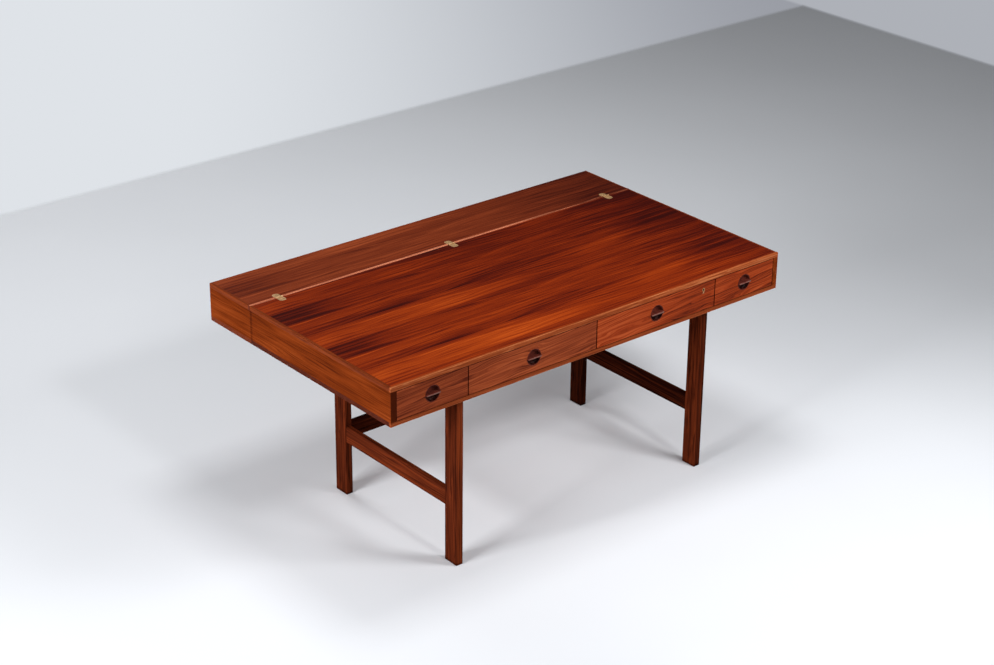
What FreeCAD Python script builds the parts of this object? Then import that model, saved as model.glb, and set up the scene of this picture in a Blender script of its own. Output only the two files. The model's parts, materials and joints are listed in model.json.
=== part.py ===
"""Flip-top partners desk: a drawer carcase on a leg frame, with a hinged rear box that folds over the top.

Sizes are in millimetres. +X points to the right of someone who faces the drawers, +Y from the
drawers to the back, and +Z up. The origin lies on the floor, under the middle of the desk's box.
"""
import FreeCAD
import Part

import math
import os

# Overall sizes
DESK_WIDTH = 1625.0
DESK_HEIGHT = 730.0
MAIN_DEPTH = 734.0
FLIP_DEPTH = 229.6
BODY_HEIGHT = 131.0
SEAM_GAP = 1.0

# Veneered panels and their solid edgings
PANEL_THICKNESS = 15.0
SIDE_THICKNESS = 20.0
BACK_THICKNESS = 12.0
DIVIDER_THICKNESS = 16.0
LIPPING_DEPTH = 8.0
ARRIS_RADIUS = 2.5
HOUSING_DEPTH = 5.0
TONGUE_THICKNESS = 6.0
TONGUE_INSET = 3.0

# Rear box that flips over the top
FLIP_INNER_THICKNESS = 12.0
FLIP_DIVIDER_THICKNESS = 12.0
FLIP_DIVIDER_SETBACK = 6.0

# Drawer fronts: an outer bay runs from the end of the desk to the joint between two drawer fronts
OUTER_BAY_WIDTH = 293.0
FRONT_THICKNESS = 20.0
FRONT_GAP = 2.5
FRONT_ARRIS = 0.8
DRAWER_CLEARANCE = 1.5
STOP_GAP = 0.5

# Drawer boxes: raise and drop are measured from the lower and upper edges of the front
DRAWER_BACK_ROOM = 100.0
BOX_RAISE = 6.0
BOX_DROP = 8.0
BACK_DROP = 4.0
DRAWER_SIDE_THICKNESS = 12.0
DRAWER_BACK_THICKNESS = 12.0
DRAWER_BOTTOM_THICKNESS = 6.0
BOTTOM_RAISE = 10.0
BOTTOM_GROOVE = 5.0
TAIL_COUNT = 3
TAIL_LENGTH = 12.0
TAIL_FLARE = 2.0

# Wooden runners that the grooved drawer sides slide on
RUNNER_HEIGHT = 10.0
RUNNER_REACH = 7.0
RUNNER_SETBACK = 10.0
RUNNER_CLEARANCE = 0.3

# Turned pulls with a finger blade across the mouth
PULL_SIDES = 40
PULL_MOUTH_RADIUS = 26.0
PULL_RIM = 2.0
PULL_CUP_DEPTH = 15.0
PULL_FLOOR_DEPTH = 12.0
PULL_CORNER = 7.0
PULL_CORNER_STEPS = 2
PULL_PROUD = 7.0
BLADE_ROOT = 6.0
BLADE_EDGE = 4.0
BLADE_CORNER = 4.0
BLADE_NOSE = 1.2
GLUE_GAP = 0.1

# Drawer lock: its key turns on a post behind the keyhole and lifts the bolt into the top panel
LOCK_FROM_LINE = 52.5
LOCK_DROP = 24.0
LOCK_WIDTH = 36.0
LOCK_THICKNESS = 10.0
LOCK_BELOW_KEY = 15.0
LOCK_WALL = 2.0
BOLT_WIDTH = 16.0
BOLT_THICKNESS = 4.0
BOLT_TRAVEL = 8.0
BOLT_CLEARANCE = 0.3
BOLT_MORTISE_ROOM = 1.0
KEY_POST_RADIUS = 1.5
KEY_SIDES = 16
KEYHOLE_RADIUS = 4.0
KEYHOLE_SLOT = 3.6
KEYHOLE_DROP = 11.0
ESCUTCHEON_WALL = 1.4
ESCUTCHEON_DEPTH = 6.0
ESCUTCHEON_PROUD = 0.5

# Flush brass hinges across the seam
HINGE_END_SETBACK = 112.5
HINGE_WIDTH = 25.0
LEAF_LENGTH = 29.0
LEAF_THICKNESS = 2.5
LEAF_CORNER = 10.0
KNUCKLE_RADIUS = 3.0
KNUCKLE_GAP = 0.4
MIDDLE_KNUCKLE = 9.0
HINGE_AXIS_RISE = 0.6
HINGE_PIN_RADIUS = 1.5
HINGE_PIN_SIDES = 12
PIN_CLEARANCE = 0.05
HINGE_SCREW_SPACING = 13.0
HINGE_SCREW_FROM_SEAM = 17.0
HINGE_SCREW_HEAD = 3.0
HINGE_SCREW_SHANK = 1.4

# Leg frame, with the legs centred under the joints between the drawer fronts
LEG_WIDTH = 26.0
LEG_DEPTH = 59.0
FRONT_LEG_SETBACK = 39.5
BACK_LEG_SETBACK = 52.5
LEG_ARRIS = 1.5
STRETCHER_HEIGHT = 58.0
STRETCHER_THICKNESS = 20.0
STRETCHER_UNDERSIDE = 196.0
UPPER_RAIL_HEIGHT = 40.0
TENON_THICKNESS = 8.0
TENON_SHOULDER = 9.0
SIDE_TENON_LENGTH = 18.0
BACK_TENON_LENGTH = 15.0

# Screws that hold the leg frame under the carcase
BASE_SCREWS_PER_RAIL = 3
BASE_SCREW_HEAD = 4.0
BASE_SCREW_SHANK = 2.0
BASE_SCREW_WELL = 14.0
BASE_SCREW_END = 70.0

# What all screws share: the cover is the wood left between a screw's tip and the housing beyond it
SCREW_SIDES = 8
SCREW_COVER = 1.0
SCREW_CLEARANCE = 0.1
DRIVER_SLOT = 0.8
DRIVER_SLOT_DEPTH = 0.7

# Levels and faces that follow from the sizes above
TOTAL_DEPTH = MAIN_DEPTH + SEAM_GAP + FLIP_DEPTH
FRONT_Y = (PULL_PROUD - TOTAL_DEPTH) / 2
MAIN_BACK_Y = FRONT_Y + MAIN_DEPTH
SEAM_Y = MAIN_BACK_Y + SEAM_GAP / 2
FLIP_FRONT_Y = MAIN_BACK_Y + SEAM_GAP
BACK_Y = FLIP_FRONT_Y + FLIP_DEPTH
BACK_INNER_Y = MAIN_BACK_Y - BACK_THICKNESS
FRONT_INNER_Y = FRONT_Y + FRONT_THICKNESS
DIVIDER_FRONT_Y = FRONT_INNER_Y + STOP_GAP
DRAWER_BACK_Y = BACK_INNER_Y - DRAWER_BACK_ROOM
HALF_WIDTH = DESK_WIDTH / 2
INNER_X = HALF_WIDTH - SIDE_THICKNESS
TOP_Z = DESK_HEIGHT
BODY_Z = TOP_Z - BODY_HEIGHT
CEILING_Z = TOP_Z - PANEL_THICKNESS
FLOOR_Z = BODY_Z + PANEL_THICKNESS
FRONT_LOW_Z = FLOOR_Z + DRAWER_CLEARANCE
FRONT_HIGH_Z = CEILING_Z - DRAWER_CLEARANCE
BOX_LOW_Z = FRONT_LOW_Z + BOX_RAISE
BOX_HIGH_Z = FRONT_HIGH_Z - BOX_DROP
BOTTOM_LOW_Z = BOX_LOW_Z + BOTTOM_RAISE
BOTTOM_HIGH_Z = BOTTOM_LOW_Z + DRAWER_BOTTOM_THICKNESS
RUNNER_LOW_Z = (BOX_LOW_Z + BOX_HIGH_Z - RUNNER_HEIGHT) / 2
PULL_Z = (FRONT_LOW_Z + FRONT_HIGH_Z) / 2
DRAWER_LINE_X = HALF_WIDTH - OUTER_BAY_WIDTH
LOCK_X = DRAWER_LINE_X - LOCK_FROM_LINE
LOCK_Z = FRONT_HIGH_Z - LOCK_DROP
HINGE_AXIS_Z = TOP_Z + HINGE_AXIS_RISE
SCREW_BITE = PANEL_THICKNESS - HOUSING_DEPTH - SCREW_COVER
FRONT_LEG_Y = FRONT_Y + FRONT_LEG_SETBACK
BACK_LEG_Y = MAIN_BACK_Y - BACK_LEG_SETBACK - LEG_DEPTH
LEG_OUTER_X = DRAWER_LINE_X + LEG_WIDTH / 2
LEG_INNER_X = DRAWER_LINE_X - LEG_WIDTH / 2

LEFT = -1
RIGHT = 1
FORWARDS = -1
BACKWARDS = 1
ALONG_X = FreeCAD.Vector(1, 0, 0)
INWARDS = FreeCAD.Vector(0, 1, 0)
UP = FreeCAD.Vector(0, 0, 1)
DOWN = FreeCAD.Vector(0, 0, -1)


# Small tools for boards, turned pieces and edges

def board(x_low, x_high, y_low, y_high, z_low, z_high):
    """A square-edged board between two corners."""
    corner = FreeCAD.Vector(x_low, y_low, z_low)
    return Part.makeBox(x_high - x_low, y_high - y_low, z_high - z_low, corner)


def mirrored_board(side, x_near, x_far, y_low, y_high, z_low, z_high):
    """A board on the left or right of the desk, with x measured outwards from the middle."""
    x_low, x_high = sorted((side * x_near, side * x_far))
    return board(x_low, x_high, y_low, y_high, z_low, z_high)


def rod_x(radius, x_low, x_high, y, z):
    """A round bar along X."""
    return Part.makeCylinder(radius, x_high - x_low, FreeCAD.Vector(x_low, y, z), FreeCAD.Vector(1, 0, 0))


def faceted_rod(start, along, sides, sections):
    """A turned piece with flat sides, through (radius, distance from the start) sections along its axis."""
    across = FreeCAD.Vector(along.y, along.z, along.x)
    upright = along.cross(across)
    turns = [2 * math.pi * index / sides for index in range(sides)]
    spokes = [across * math.cos(turn) + upright * math.sin(turn) for turn in turns]
    rings = [[start + along * distance + spoke * radius for spoke in spokes]
             for radius, distance in sections]
    outlines = [rings[0], rings[-1]]
    for ring, following in zip(rings, rings[1:]):
        for index in range(sides):
            outlines.append([ring[index - 1], ring[index], following[index], following[index - 1]])
    faces = [Part.Face(Part.makePolygon(outline + outline[:1])) for outline in outlines]
    return Part.makeSolid(Part.makeShell(faces))


def clear_radius(radius, sides):
    """The corner radius of a flat-sided hole in which a round piece of this radius can turn."""
    return radius / math.cos(math.pi / sides)


def prism_x(outline, x_low, x_high):
    """An outline of (y, z) points drawn out along X."""
    points = [FreeCAD.Vector(x_low, y, z) for y, z in outline]
    face = Part.Face(Part.makePolygon(points + points[:1]))
    return face.extrude(FreeCAD.Vector(x_high - x_low, 0, 0))


def edges_in(shape, **planes):
    """The edges of a shape that lie in every named plane, such as Y=0 with Z=730."""
    found = []
    for edge in shape.Edges:
        box = edge.BoundBox
        spans = {axis: (getattr(box, axis + "Min"), getattr(box, axis + "Max")) for axis in planes}
        if all(max(abs(end - planes[axis]) for end in spans[axis]) < 1e-6 for axis in planes):
            found.append(edge)
    return found


def fused(shapes):
    """One solid from touching pieces of the same wood or metal."""
    return shapes[0].multiFuse(shapes[1:]).removeSplitter()


def screw(head, along, head_radius, shank_radius, length):
    """A countersunk screw, from the middle of its head along its shank."""
    return faceted_rod(head, along, SCREW_SIDES, [
        (head_radius, 0.0),
        (shank_radius, head_radius - shank_radius),
        (shank_radius, length),
    ])


def screw_hole(head, along, head_radius, shank_radius, length, well):
    """The hole that such a screw needs, with a well through which its head goes in."""
    grow = SCREW_CLEARANCE
    return faceted_rod(head, along, SCREW_SIDES, [
        (head_radius + grow, -well),
        (head_radius + grow, 0.0),
        (shank_radius + grow, head_radius - shank_radius),
        (shank_radius + grow, length + grow),
    ])


def slotted(fastener, head, along, head_radius):
    """A screw with a driver slot across its head."""
    z_low, z_high = sorted((head.z, head.z + along.z * DRIVER_SLOT_DEPTH))
    half = DRIVER_SLOT / 2
    slot = board(head.x - head_radius, head.x + head_radius, head.y - half, head.y + half, z_low, z_high)
    return fastener.cut(slot)


# Leg frame

def leg(side, front_y):
    """A flat upright leg with eased corners and foot."""
    post = mirrored_board(side, LEG_INNER_X, LEG_OUTER_X, front_y, front_y + LEG_DEPTH, 0.0, BODY_Z)
    eased = edges_in(post, Z=0.0)
    for x in (side * LEG_INNER_X, side * LEG_OUTER_X):
        for y in (front_y, front_y + LEG_DEPTH):
            eased += edges_in(post, X=x, Y=y)
    return post.makeChamfer(LEG_ARRIS, eased)


def side_rail(side, z_low, z_high, eased_levels):
    """A rail between a front and a back leg, with a tenon at each end and some long edges eased."""
    y_low = FRONT_LEG_Y + LEG_DEPTH
    y_high = BACK_LEG_Y
    x = side * DRAWER_LINE_X
    half = STRETCHER_THICKNESS / 2
    rail = board(x - half, x + half, y_low, y_high, z_low, z_high)
    eased = []
    for edge_x in (x - half, x + half):
        for level in eased_levels:
            eased += edges_in(rail, X=edge_x, Z=level)
    rail = rail.makeChamfer(LEG_ARRIS, eased)
    tongue = board(x - TENON_THICKNESS / 2, x + TENON_THICKNESS / 2, y_low - SIDE_TENON_LENGTH,
                   y_high + SIDE_TENON_LENGTH, z_low + TENON_SHOULDER, z_high - TENON_SHOULDER)
    return fused([rail, tongue])


def back_stretcher():
    """The rail that ties the two back legs together, with a tenon at each end."""
    reach = LEG_INNER_X + BACK_TENON_LENGTH
    y = BACK_LEG_Y + LEG_DEPTH / 2
    z_low = STRETCHER_UNDERSIDE
    z_high = z_low + STRETCHER_HEIGHT
    half = STRETCHER_THICKNESS / 2
    rail = board(-LEG_INNER_X, LEG_INNER_X, y - half, y + half, z_low, z_high)
    eased = []
    for edge_y in (y - half, y + half):
        for level in (z_low, z_high):
            eased += edges_in(rail, Y=edge_y, Z=level)
    rail = rail.makeChamfer(LEG_ARRIS, eased)
    tongue = board(-reach, reach, y - TENON_THICKNESS / 2, y + TENON_THICKNESS / 2,
                   z_low + TENON_SHOULDER, z_high - TENON_SHOULDER)
    return fused([rail, tongue])


def base_screw_heads():
    """Where the heads of the screws sit that go up through the two upper rails."""
    first = FRONT_LEG_Y + LEG_DEPTH + BASE_SCREW_END
    last = BACK_LEG_Y - BASE_SCREW_END
    step = (last - first) / (BASE_SCREWS_PER_RAIL - 1)
    z = BODY_Z - UPPER_RAIL_HEIGHT + BASE_SCREW_WELL
    return [FreeCAD.Vector(side * DRAWER_LINE_X, first + step * index, z)
            for side in (LEFT, RIGHT) for index in range(BASE_SCREWS_PER_RAIL)]


def base_screw_sizes():
    """The heading, radii and length of the screws that go up into the carcase."""
    return UP, BASE_SCREW_HEAD, BASE_SCREW_SHANK, UPPER_RAIL_HEIGHT - BASE_SCREW_WELL + SCREW_BITE


def base_screw_holes():
    """The stepped holes that the base screws need in the rails and the carcase."""
    return [screw_hole(head, *base_screw_sizes(), BASE_SCREW_WELL) for head in base_screw_heads()]


def base_frame():
    """Four legs, the low stretchers, the upper rails and their screws."""
    low = (STRETCHER_UNDERSIDE, STRETCHER_UNDERSIDE + STRETCHER_HEIGHT)
    high = (BODY_Z - UPPER_RAIL_HEIGHT, BODY_Z)
    rails = {"back_stretcher": back_stretcher()}
    for name, side in (("left", LEFT), ("right", RIGHT)):
        rails[name + "_stretcher"] = side_rail(side, *low, low)
        rails[name + "_upper_rail"] = side_rail(side, *high, high[:1]).cut(base_screw_holes())
    tenons = list(rails.values())
    legs = {}
    for place, front_y in (("front", FRONT_LEG_Y), ("back", BACK_LEG_Y)):
        for name, side in (("left", LEFT), ("right", RIGHT)):
            legs[f"{place}_{name}_leg"] = leg(side, front_y).cut(tenons)
    screws = [slotted(screw(head, *base_screw_sizes()), head, UP, BASE_SCREW_HEAD)
              for head in base_screw_heads()]
    return {**legs, **rails, "base_screws": Part.makeCompound(screws)}


# Hinges

def leaf_plate(x, heading):
    """A brass plate let flush into the top, with round corners away from the seam."""
    y_low, y_high = sorted((SEAM_Y, SEAM_Y + heading * LEAF_LENGTH))
    half = HINGE_WIDTH / 2
    plate = board(x - half, x + half, y_low, y_high, TOP_Z - LEAF_THICKNESS, TOP_Z)
    corners = []
    for edge_x in (x - half, x + half):
        corners += edges_in(plate, X=edge_x, Y=SEAM_Y + heading * LEAF_LENGTH)
    return plate.makeFillet(LEAF_CORNER, corners)


def knuckle_spans(x, heading):
    """The stretches of the barrel that belong to the fixed leaf (forwards) or the moving leaf."""
    middle = MIDDLE_KNUCKLE / 2
    if heading == BACKWARDS:
        return [(x - middle, x + middle)]
    outer = HINGE_WIDTH / 2
    return [(x - outer, x - middle - KNUCKLE_GAP), (x + middle + KNUCKLE_GAP, x + outer)]


def hinge_screw_heads(x, heading):
    """Where the heads of the two screws of one leaf sit."""
    y = SEAM_Y + heading * HINGE_SCREW_FROM_SEAM
    half = HINGE_SCREW_SPACING / 2
    return [FreeCAD.Vector(x - half, y, TOP_Z), FreeCAD.Vector(x + half, y, TOP_Z)]


def hinge_screws(x, heading):
    """The two countersunk screws that go down through one leaf."""
    fasteners = []
    for head in hinge_screw_heads(x, heading):
        plain = screw(head, DOWN, HINGE_SCREW_HEAD, HINGE_SCREW_SHANK, SCREW_BITE)
        fasteners.append(slotted(plain, head, DOWN, HINGE_SCREW_HEAD))
    return fasteners


def hinge_screw_holes(x, heading):
    """The holes for those screws in the leaf and in the top below it."""
    return [screw_hole(head, DOWN, HINGE_SCREW_HEAD, HINGE_SCREW_SHANK, SCREW_BITE, SCREW_CLEARANCE)
            for head in hinge_screw_heads(x, heading)]


def hinge_pin(x, radius):
    """A pin through the barrel of one hinge, or the bore that a larger radius gives."""
    end = FreeCAD.Vector(x - HINGE_WIDTH / 2, SEAM_Y, HINGE_AXIS_Z)
    return faceted_rod(end, ALONG_X, HINGE_PIN_SIDES, [(radius, 0.0), (radius, HINGE_WIDTH)])


def hinge_leaf(x, heading):
    """A leaf with its own knuckles, cut clear of the other leaf's knuckles, the pin and the screws."""
    gap = KNUCKLE_GAP
    own = [rod_x(KNUCKLE_RADIUS, low, high, SEAM_Y, HINGE_AXIS_Z)
           for low, high in knuckle_spans(x, heading)]
    others = [rod_x(KNUCKLE_RADIUS + gap, low - gap, high + gap, SEAM_Y, HINGE_AXIS_Z)
              for low, high in knuckle_spans(x, -heading)]
    plate = leaf_plate(x, heading).cut(others)
    bore = hinge_pin(x, clear_radius(HINGE_PIN_RADIUS + PIN_CLEARANCE, HINGE_PIN_SIDES))
    return fused([plate] + own).cut([bore] + hinge_screw_holes(x, heading))


def hinge_places():
    """The three places along the seam where hinges sit."""
    outer_x = HALF_WIDTH - HINGE_END_SETBACK
    return (-outer_x, 0.0, outer_x)


def hinge_cuts(heading):
    """What the hinges take out of a top: leaf beds, square reliefs for the barrels and screw holes."""
    reach = KNUCKLE_RADIUS + KNUCKLE_GAP
    half = HINGE_WIDTH / 2 + KNUCKLE_GAP
    cuts = []
    for x in hinge_places():
        cuts.append(leaf_plate(x, heading))
        cuts.append(board(x - half, x + half, SEAM_Y - reach, SEAM_Y + reach, HINGE_AXIS_Z - reach, TOP_Z))
        cuts += hinge_screw_holes(x, heading)
    return cuts


def hinges():
    """Fixed and moving leaves, their pins and their screws, each kind as one group."""
    groups = {}
    for name, heading in (("fixed", FORWARDS), ("moving", BACKWARDS)):
        groups[f"hinge_{name}_leaves"] = [hinge_leaf(x, heading) for x in hinge_places()]
        groups[f"hinge_{name}_screws"] = [fastener for x in hinge_places()
                                          for fastener in hinge_screws(x, heading)]
    groups["hinge_pins"] = [hinge_pin(x, HINGE_PIN_RADIUS) for x in hinge_places()]
    return {name: Part.makeCompound(shapes) for name, shapes in groups.items()}


# Edgings and panels that the carcase and the rear box share

def front_lipping(front_y, z_low, z_high, rounded_z):
    """A solid strip along the front edge of a panel, with one long arris rounded."""
    strip = board(-HALF_WIDTH, HALF_WIDTH, front_y, front_y + LIPPING_DEPTH, z_low, z_high)
    return strip.makeFillet(ARRIS_RADIUS, edges_in(strip, Y=front_y, Z=rounded_z))


def end_lippings(front_y, back_y, tongued):
    """The solid strips along both ends of a top panel, cut where the ends' tongues reach into them."""
    strips = []
    for side in (LEFT, RIGHT):
        strip = mirrored_board(side, HALF_WIDTH - LIPPING_DEPTH, HALF_WIDTH,
                               front_y + LIPPING_DEPTH, back_y, CEILING_Z, TOP_Z)
        strip = strip.makeFillet(ARRIS_RADIUS, edges_in(strip, X=side * HALF_WIDTH, Z=TOP_Z))
        strips.append(strip.cut(tongued))
    return strips


def end_panel(side, front_y, back_y):
    """An end of a box, with tongues that enter the panels above and below it."""
    tongue_x = INNER_X + TONGUE_INSET
    panel = mirrored_board(side, INNER_X, HALF_WIDTH, front_y, back_y, FLOOR_Z, CEILING_Z)
    tongue = mirrored_board(side, tongue_x, tongue_x + TONGUE_THICKNESS, front_y + LIPPING_DEPTH, back_y,
                            FLOOR_Z - HOUSING_DEPTH, CEILING_Z + HOUSING_DEPTH)
    return fused([panel, tongue])


def housed_board(x_low, x_high, y_low, y_high):
    """An upright board whose upper and lower edges are housed in the panels."""
    return board(x_low, x_high, y_low, y_high, FLOOR_Z - HOUSING_DEPTH, CEILING_Z + HOUSING_DEPTH)


def divider_places():
    """Where upright dividers stand, in line with the joints between the drawer fronts."""
    return (-DRAWER_LINE_X, 0.0, DRAWER_LINE_X)


# Main carcase

def drawer_bays():
    """Each drawer's name with its bay's inner faces and its front's ends."""
    half = DIVIDER_THICKNESS / 2
    gap = FRONT_GAP / 2
    line = DRAWER_LINE_X
    edge = INNER_X - DRAWER_CLEARANCE
    return {
        "left_outer": (-INNER_X, -line - half, -edge, -line - gap),
        "left_inner": (-line + half, -half, -line + gap, -gap),
        "right_inner": (half, line - half, gap, line - gap),
        "right_outer": (line + half, INNER_X, line + gap, edge),
    }


def drawer_runners():
    """A pair of wooden strips in each bay."""
    y_low = DIVIDER_FRONT_Y + RUNNER_SETBACK
    z_high = RUNNER_LOW_Z + RUNNER_HEIGHT
    strips = []
    for bay_low, bay_high, _, _ in drawer_bays().values():
        for x_low in (bay_low, bay_high - RUNNER_REACH):
            strips.append(board(x_low, x_low + RUNNER_REACH, y_low, BACK_INNER_Y, RUNNER_LOW_Z, z_high))
    return strips


def bolt_mortise():
    """The blind slot in the underside of the top that the lock's bolt rises into."""
    half_width = BOLT_WIDTH / 2 + BOLT_MORTISE_ROOM
    half_thickness = BOLT_THICKNESS / 2 + BOLT_MORTISE_ROOM
    y = bolt_middle_y()
    return board(LOCK_X - half_width, LOCK_X + half_width, y - half_thickness, y + half_thickness,
                 CEILING_Z, CEILING_Z + BOLT_TRAVEL)


def carcase():
    """The fixed box that holds the drawers."""
    back = housed_board(-INNER_X - HOUSING_DEPTH, INNER_X + HOUSING_DEPTH, BACK_INNER_Y, MAIN_BACK_Y)
    left = end_panel(LEFT, FRONT_Y, MAIN_BACK_Y).cut(back)
    right = end_panel(RIGHT, FRONT_Y, MAIN_BACK_Y).cut(back)
    half = DIVIDER_THICKNESS / 2
    dividers = [housed_board(x - half, x + half, DIVIDER_FRONT_Y, BACK_INNER_Y) for x in divider_places()]
    uprights = [back, left, right] + dividers
    top_end = HALF_WIDTH - LIPPING_DEPTH
    panel_y = FRONT_Y + LIPPING_DEPTH
    top = board(-top_end, top_end, panel_y, MAIN_BACK_Y, CEILING_Z, TOP_Z)
    top = top.makeFillet(ARRIS_RADIUS, edges_in(top, Y=MAIN_BACK_Y, Z=TOP_Z))
    bottom = board(-HALF_WIDTH, HALF_WIDTH, panel_y, MAIN_BACK_Y, BODY_Z, FLOOR_Z)
    return {
        "top_panel": top.cut(uprights + hinge_cuts(FORWARDS) + [bolt_mortise()]),
        "top_front_lipping": front_lipping(FRONT_Y, CEILING_Z, TOP_Z, TOP_Z).cut(bolt_mortise()),
        "top_end_lippings": Part.makeCompound(end_lippings(FRONT_Y, MAIN_BACK_Y, [left, right])),
        "bottom_panel": bottom.cut(uprights + base_screw_holes()),
        "bottom_front_lipping": front_lipping(FRONT_Y, BODY_Z, FLOOR_Z, BODY_Z),
        "left_side_panel": left,
        "right_side_panel": right,
        "back_panel": back,
        "drawer_dividers": Part.makeCompound(dividers),
        "drawer_runners": Part.makeCompound(drawer_runners()),
    }


# Rear box

def flip_box():
    """The hinged box: a shelf with open pigeonholes whose closed back faces the carcase."""
    inner_back_y = FLIP_FRONT_Y + FLIP_INNER_THICKNESS
    inner = housed_board(-INNER_X - HOUSING_DEPTH, INNER_X + HOUSING_DEPTH, FLIP_FRONT_Y, inner_back_y)
    left = end_panel(LEFT, FLIP_FRONT_Y, BACK_Y).cut(inner)
    right = end_panel(RIGHT, FLIP_FRONT_Y, BACK_Y).cut(inner)
    half = FLIP_DIVIDER_THICKNESS / 2
    dividers = [housed_board(x - half, x + half, inner_back_y, BACK_Y - FLIP_DIVIDER_SETBACK)
                for x in divider_places()]
    uprights = [inner, left, right] + dividers
    beds = hinge_cuts(BACKWARDS)
    top_end = HALF_WIDTH - LIPPING_DEPTH
    top = board(-top_end, top_end, FLIP_FRONT_Y + LIPPING_DEPTH, BACK_Y, CEILING_Z, TOP_Z)
    bottom = board(-HALF_WIDTH, HALF_WIDTH, FLIP_FRONT_Y, BACK_Y, BODY_Z, FLOOR_Z)
    return {
        "flip_top_panel": top.cut(uprights + beds),
        "flip_front_lipping": front_lipping(FLIP_FRONT_Y, CEILING_Z, TOP_Z, TOP_Z).cut(uprights + beds),
        "flip_end_lippings": Part.makeCompound(end_lippings(FLIP_FRONT_Y, BACK_Y, [left, right])),
        "flip_bottom_panel": bottom.cut(uprights),
        "flip_left_end": left,
        "flip_right_end": right,
        "flip_inner_panel": inner,
        "flip_dividers": Part.makeCompound(dividers),
    }


# Drawers

def dovetails(x_low, x_high, shoulder_y, length, z_low, z_high):
    """A row of tails that grow from a shoulder and widen towards their ends."""
    pitch = (z_high - z_low) / TAIL_COUNT
    neck = pitch / 4
    tails = []
    for index in range(TAIL_COUNT):
        middle = z_low + pitch * (index + 0.5)
        outline = [
            (shoulder_y, middle - neck),
            (shoulder_y + length, middle - neck - TAIL_FLARE),
            (shoulder_y + length, middle + neck + TAIL_FLARE),
            (shoulder_y, middle + neck),
        ]
        tails.append(prism_x(outline, x_low, x_high))
    return tails


def runner_groove(side, outer_x):
    """The groove along a drawer's side, given the outer face and the side of the drawer that it is on."""
    depth = RUNNER_REACH - DRAWER_CLEARANCE + RUNNER_CLEARANCE
    x_low, x_high = sorted((outer_x, outer_x - side * depth))
    return board(x_low, x_high, FRONT_INNER_Y, DRAWER_BACK_Y, RUNNER_LOW_Z - RUNNER_CLEARANCE,
                 RUNNER_LOW_Z + RUNNER_HEIGHT + RUNNER_CLEARANCE)


def drawer_side(x_low, x_high):
    """A side with tails at both ends: lapped into the front, through the back."""
    shoulder_y = DRAWER_BACK_Y - DRAWER_BACK_THICKNESS
    plank = board(x_low, x_high, FRONT_INNER_Y, shoulder_y, BOX_LOW_Z, BOX_HIGH_Z)
    front_tails = dovetails(x_low, x_high, FRONT_INNER_Y, -TAIL_LENGTH, BOX_LOW_Z, BOX_HIGH_Z)
    back_tails = dovetails(x_low, x_high, shoulder_y, DRAWER_BACK_THICKNESS, BOTTOM_HIGH_Z,
                           BOX_HIGH_Z - BACK_DROP)
    return fused([plank] + front_tails + back_tails)


def drawer_front(x_low, x_high):
    """A flush front with lightly eased outer edges and a round bed for its pull."""
    plank = board(x_low, x_high, FRONT_Y, FRONT_INNER_Y, FRONT_LOW_Z, FRONT_HIGH_Z)
    plank = plank.makeChamfer(FRONT_ARRIS, edges_in(plank, Y=FRONT_Y))
    radius = PULL_MOUTH_RADIUS + PULL_RIM + GLUE_GAP
    mouth = FreeCAD.Vector((x_low + x_high) / 2, FRONT_Y, PULL_Z)
    bed = faceted_rod(mouth, INWARDS, PULL_SIDES, [(radius, 0.0), (radius, PULL_CUP_DEPTH + GLUE_GAP)])
    return plank.cut(bed)


def pull_cup(x):
    """A turned cup, flush with the drawer front, with a flat floor and a hollowed inner corner."""
    centre = FreeCAD.Vector(x, FRONT_Y, PULL_Z)
    mouth = PULL_MOUTH_RADIUS
    outer = mouth + PULL_RIM
    sections = [(mouth, 0.0)]
    for step in range(PULL_CORNER_STEPS + 1):
        turn = math.pi / 2 * step / PULL_CORNER_STEPS
        sections.append((mouth - PULL_CORNER * (1 - math.cos(turn)),
                         PULL_FLOOR_DEPTH - PULL_CORNER * (1 - math.sin(turn))))
    hollow = faceted_rod(centre, INWARDS, PULL_SIDES, sections)
    return faceted_rod(centre, INWARDS, PULL_SIDES, [(outer, 0.0), (outer, PULL_CUP_DEPTH)]).cut(hollow)


def pull_blade(x):
    """The finger blade: it thins towards an eased nose, with round corners, proud of the front."""
    nose_y = FRONT_Y - PULL_PROUD
    root_y = FRONT_Y + PULL_FLOOR_DEPTH
    root = BLADE_ROOT / 2
    edge = BLADE_EDGE / 2
    outline = [
        (nose_y, PULL_Z - edge + BLADE_NOSE),
        (nose_y + BLADE_NOSE, PULL_Z - edge),
        (root_y, PULL_Z - root),
        (root_y, PULL_Z + root),
        (nose_y + BLADE_NOSE, PULL_Z + edge),
        (nose_y, PULL_Z + edge - BLADE_NOSE),
    ]
    ends = (x - PULL_MOUTH_RADIUS, x + PULL_MOUTH_RADIUS)
    plan = board(*ends, nose_y, root_y, PULL_Z - root, PULL_Z + root)
    corners = []
    for end_x in ends:
        corners += edges_in(plan, X=end_x, Y=nose_y)
    return prism_x(outline, *ends).common(plan.makeFillet(BLADE_CORNER, corners))


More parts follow.
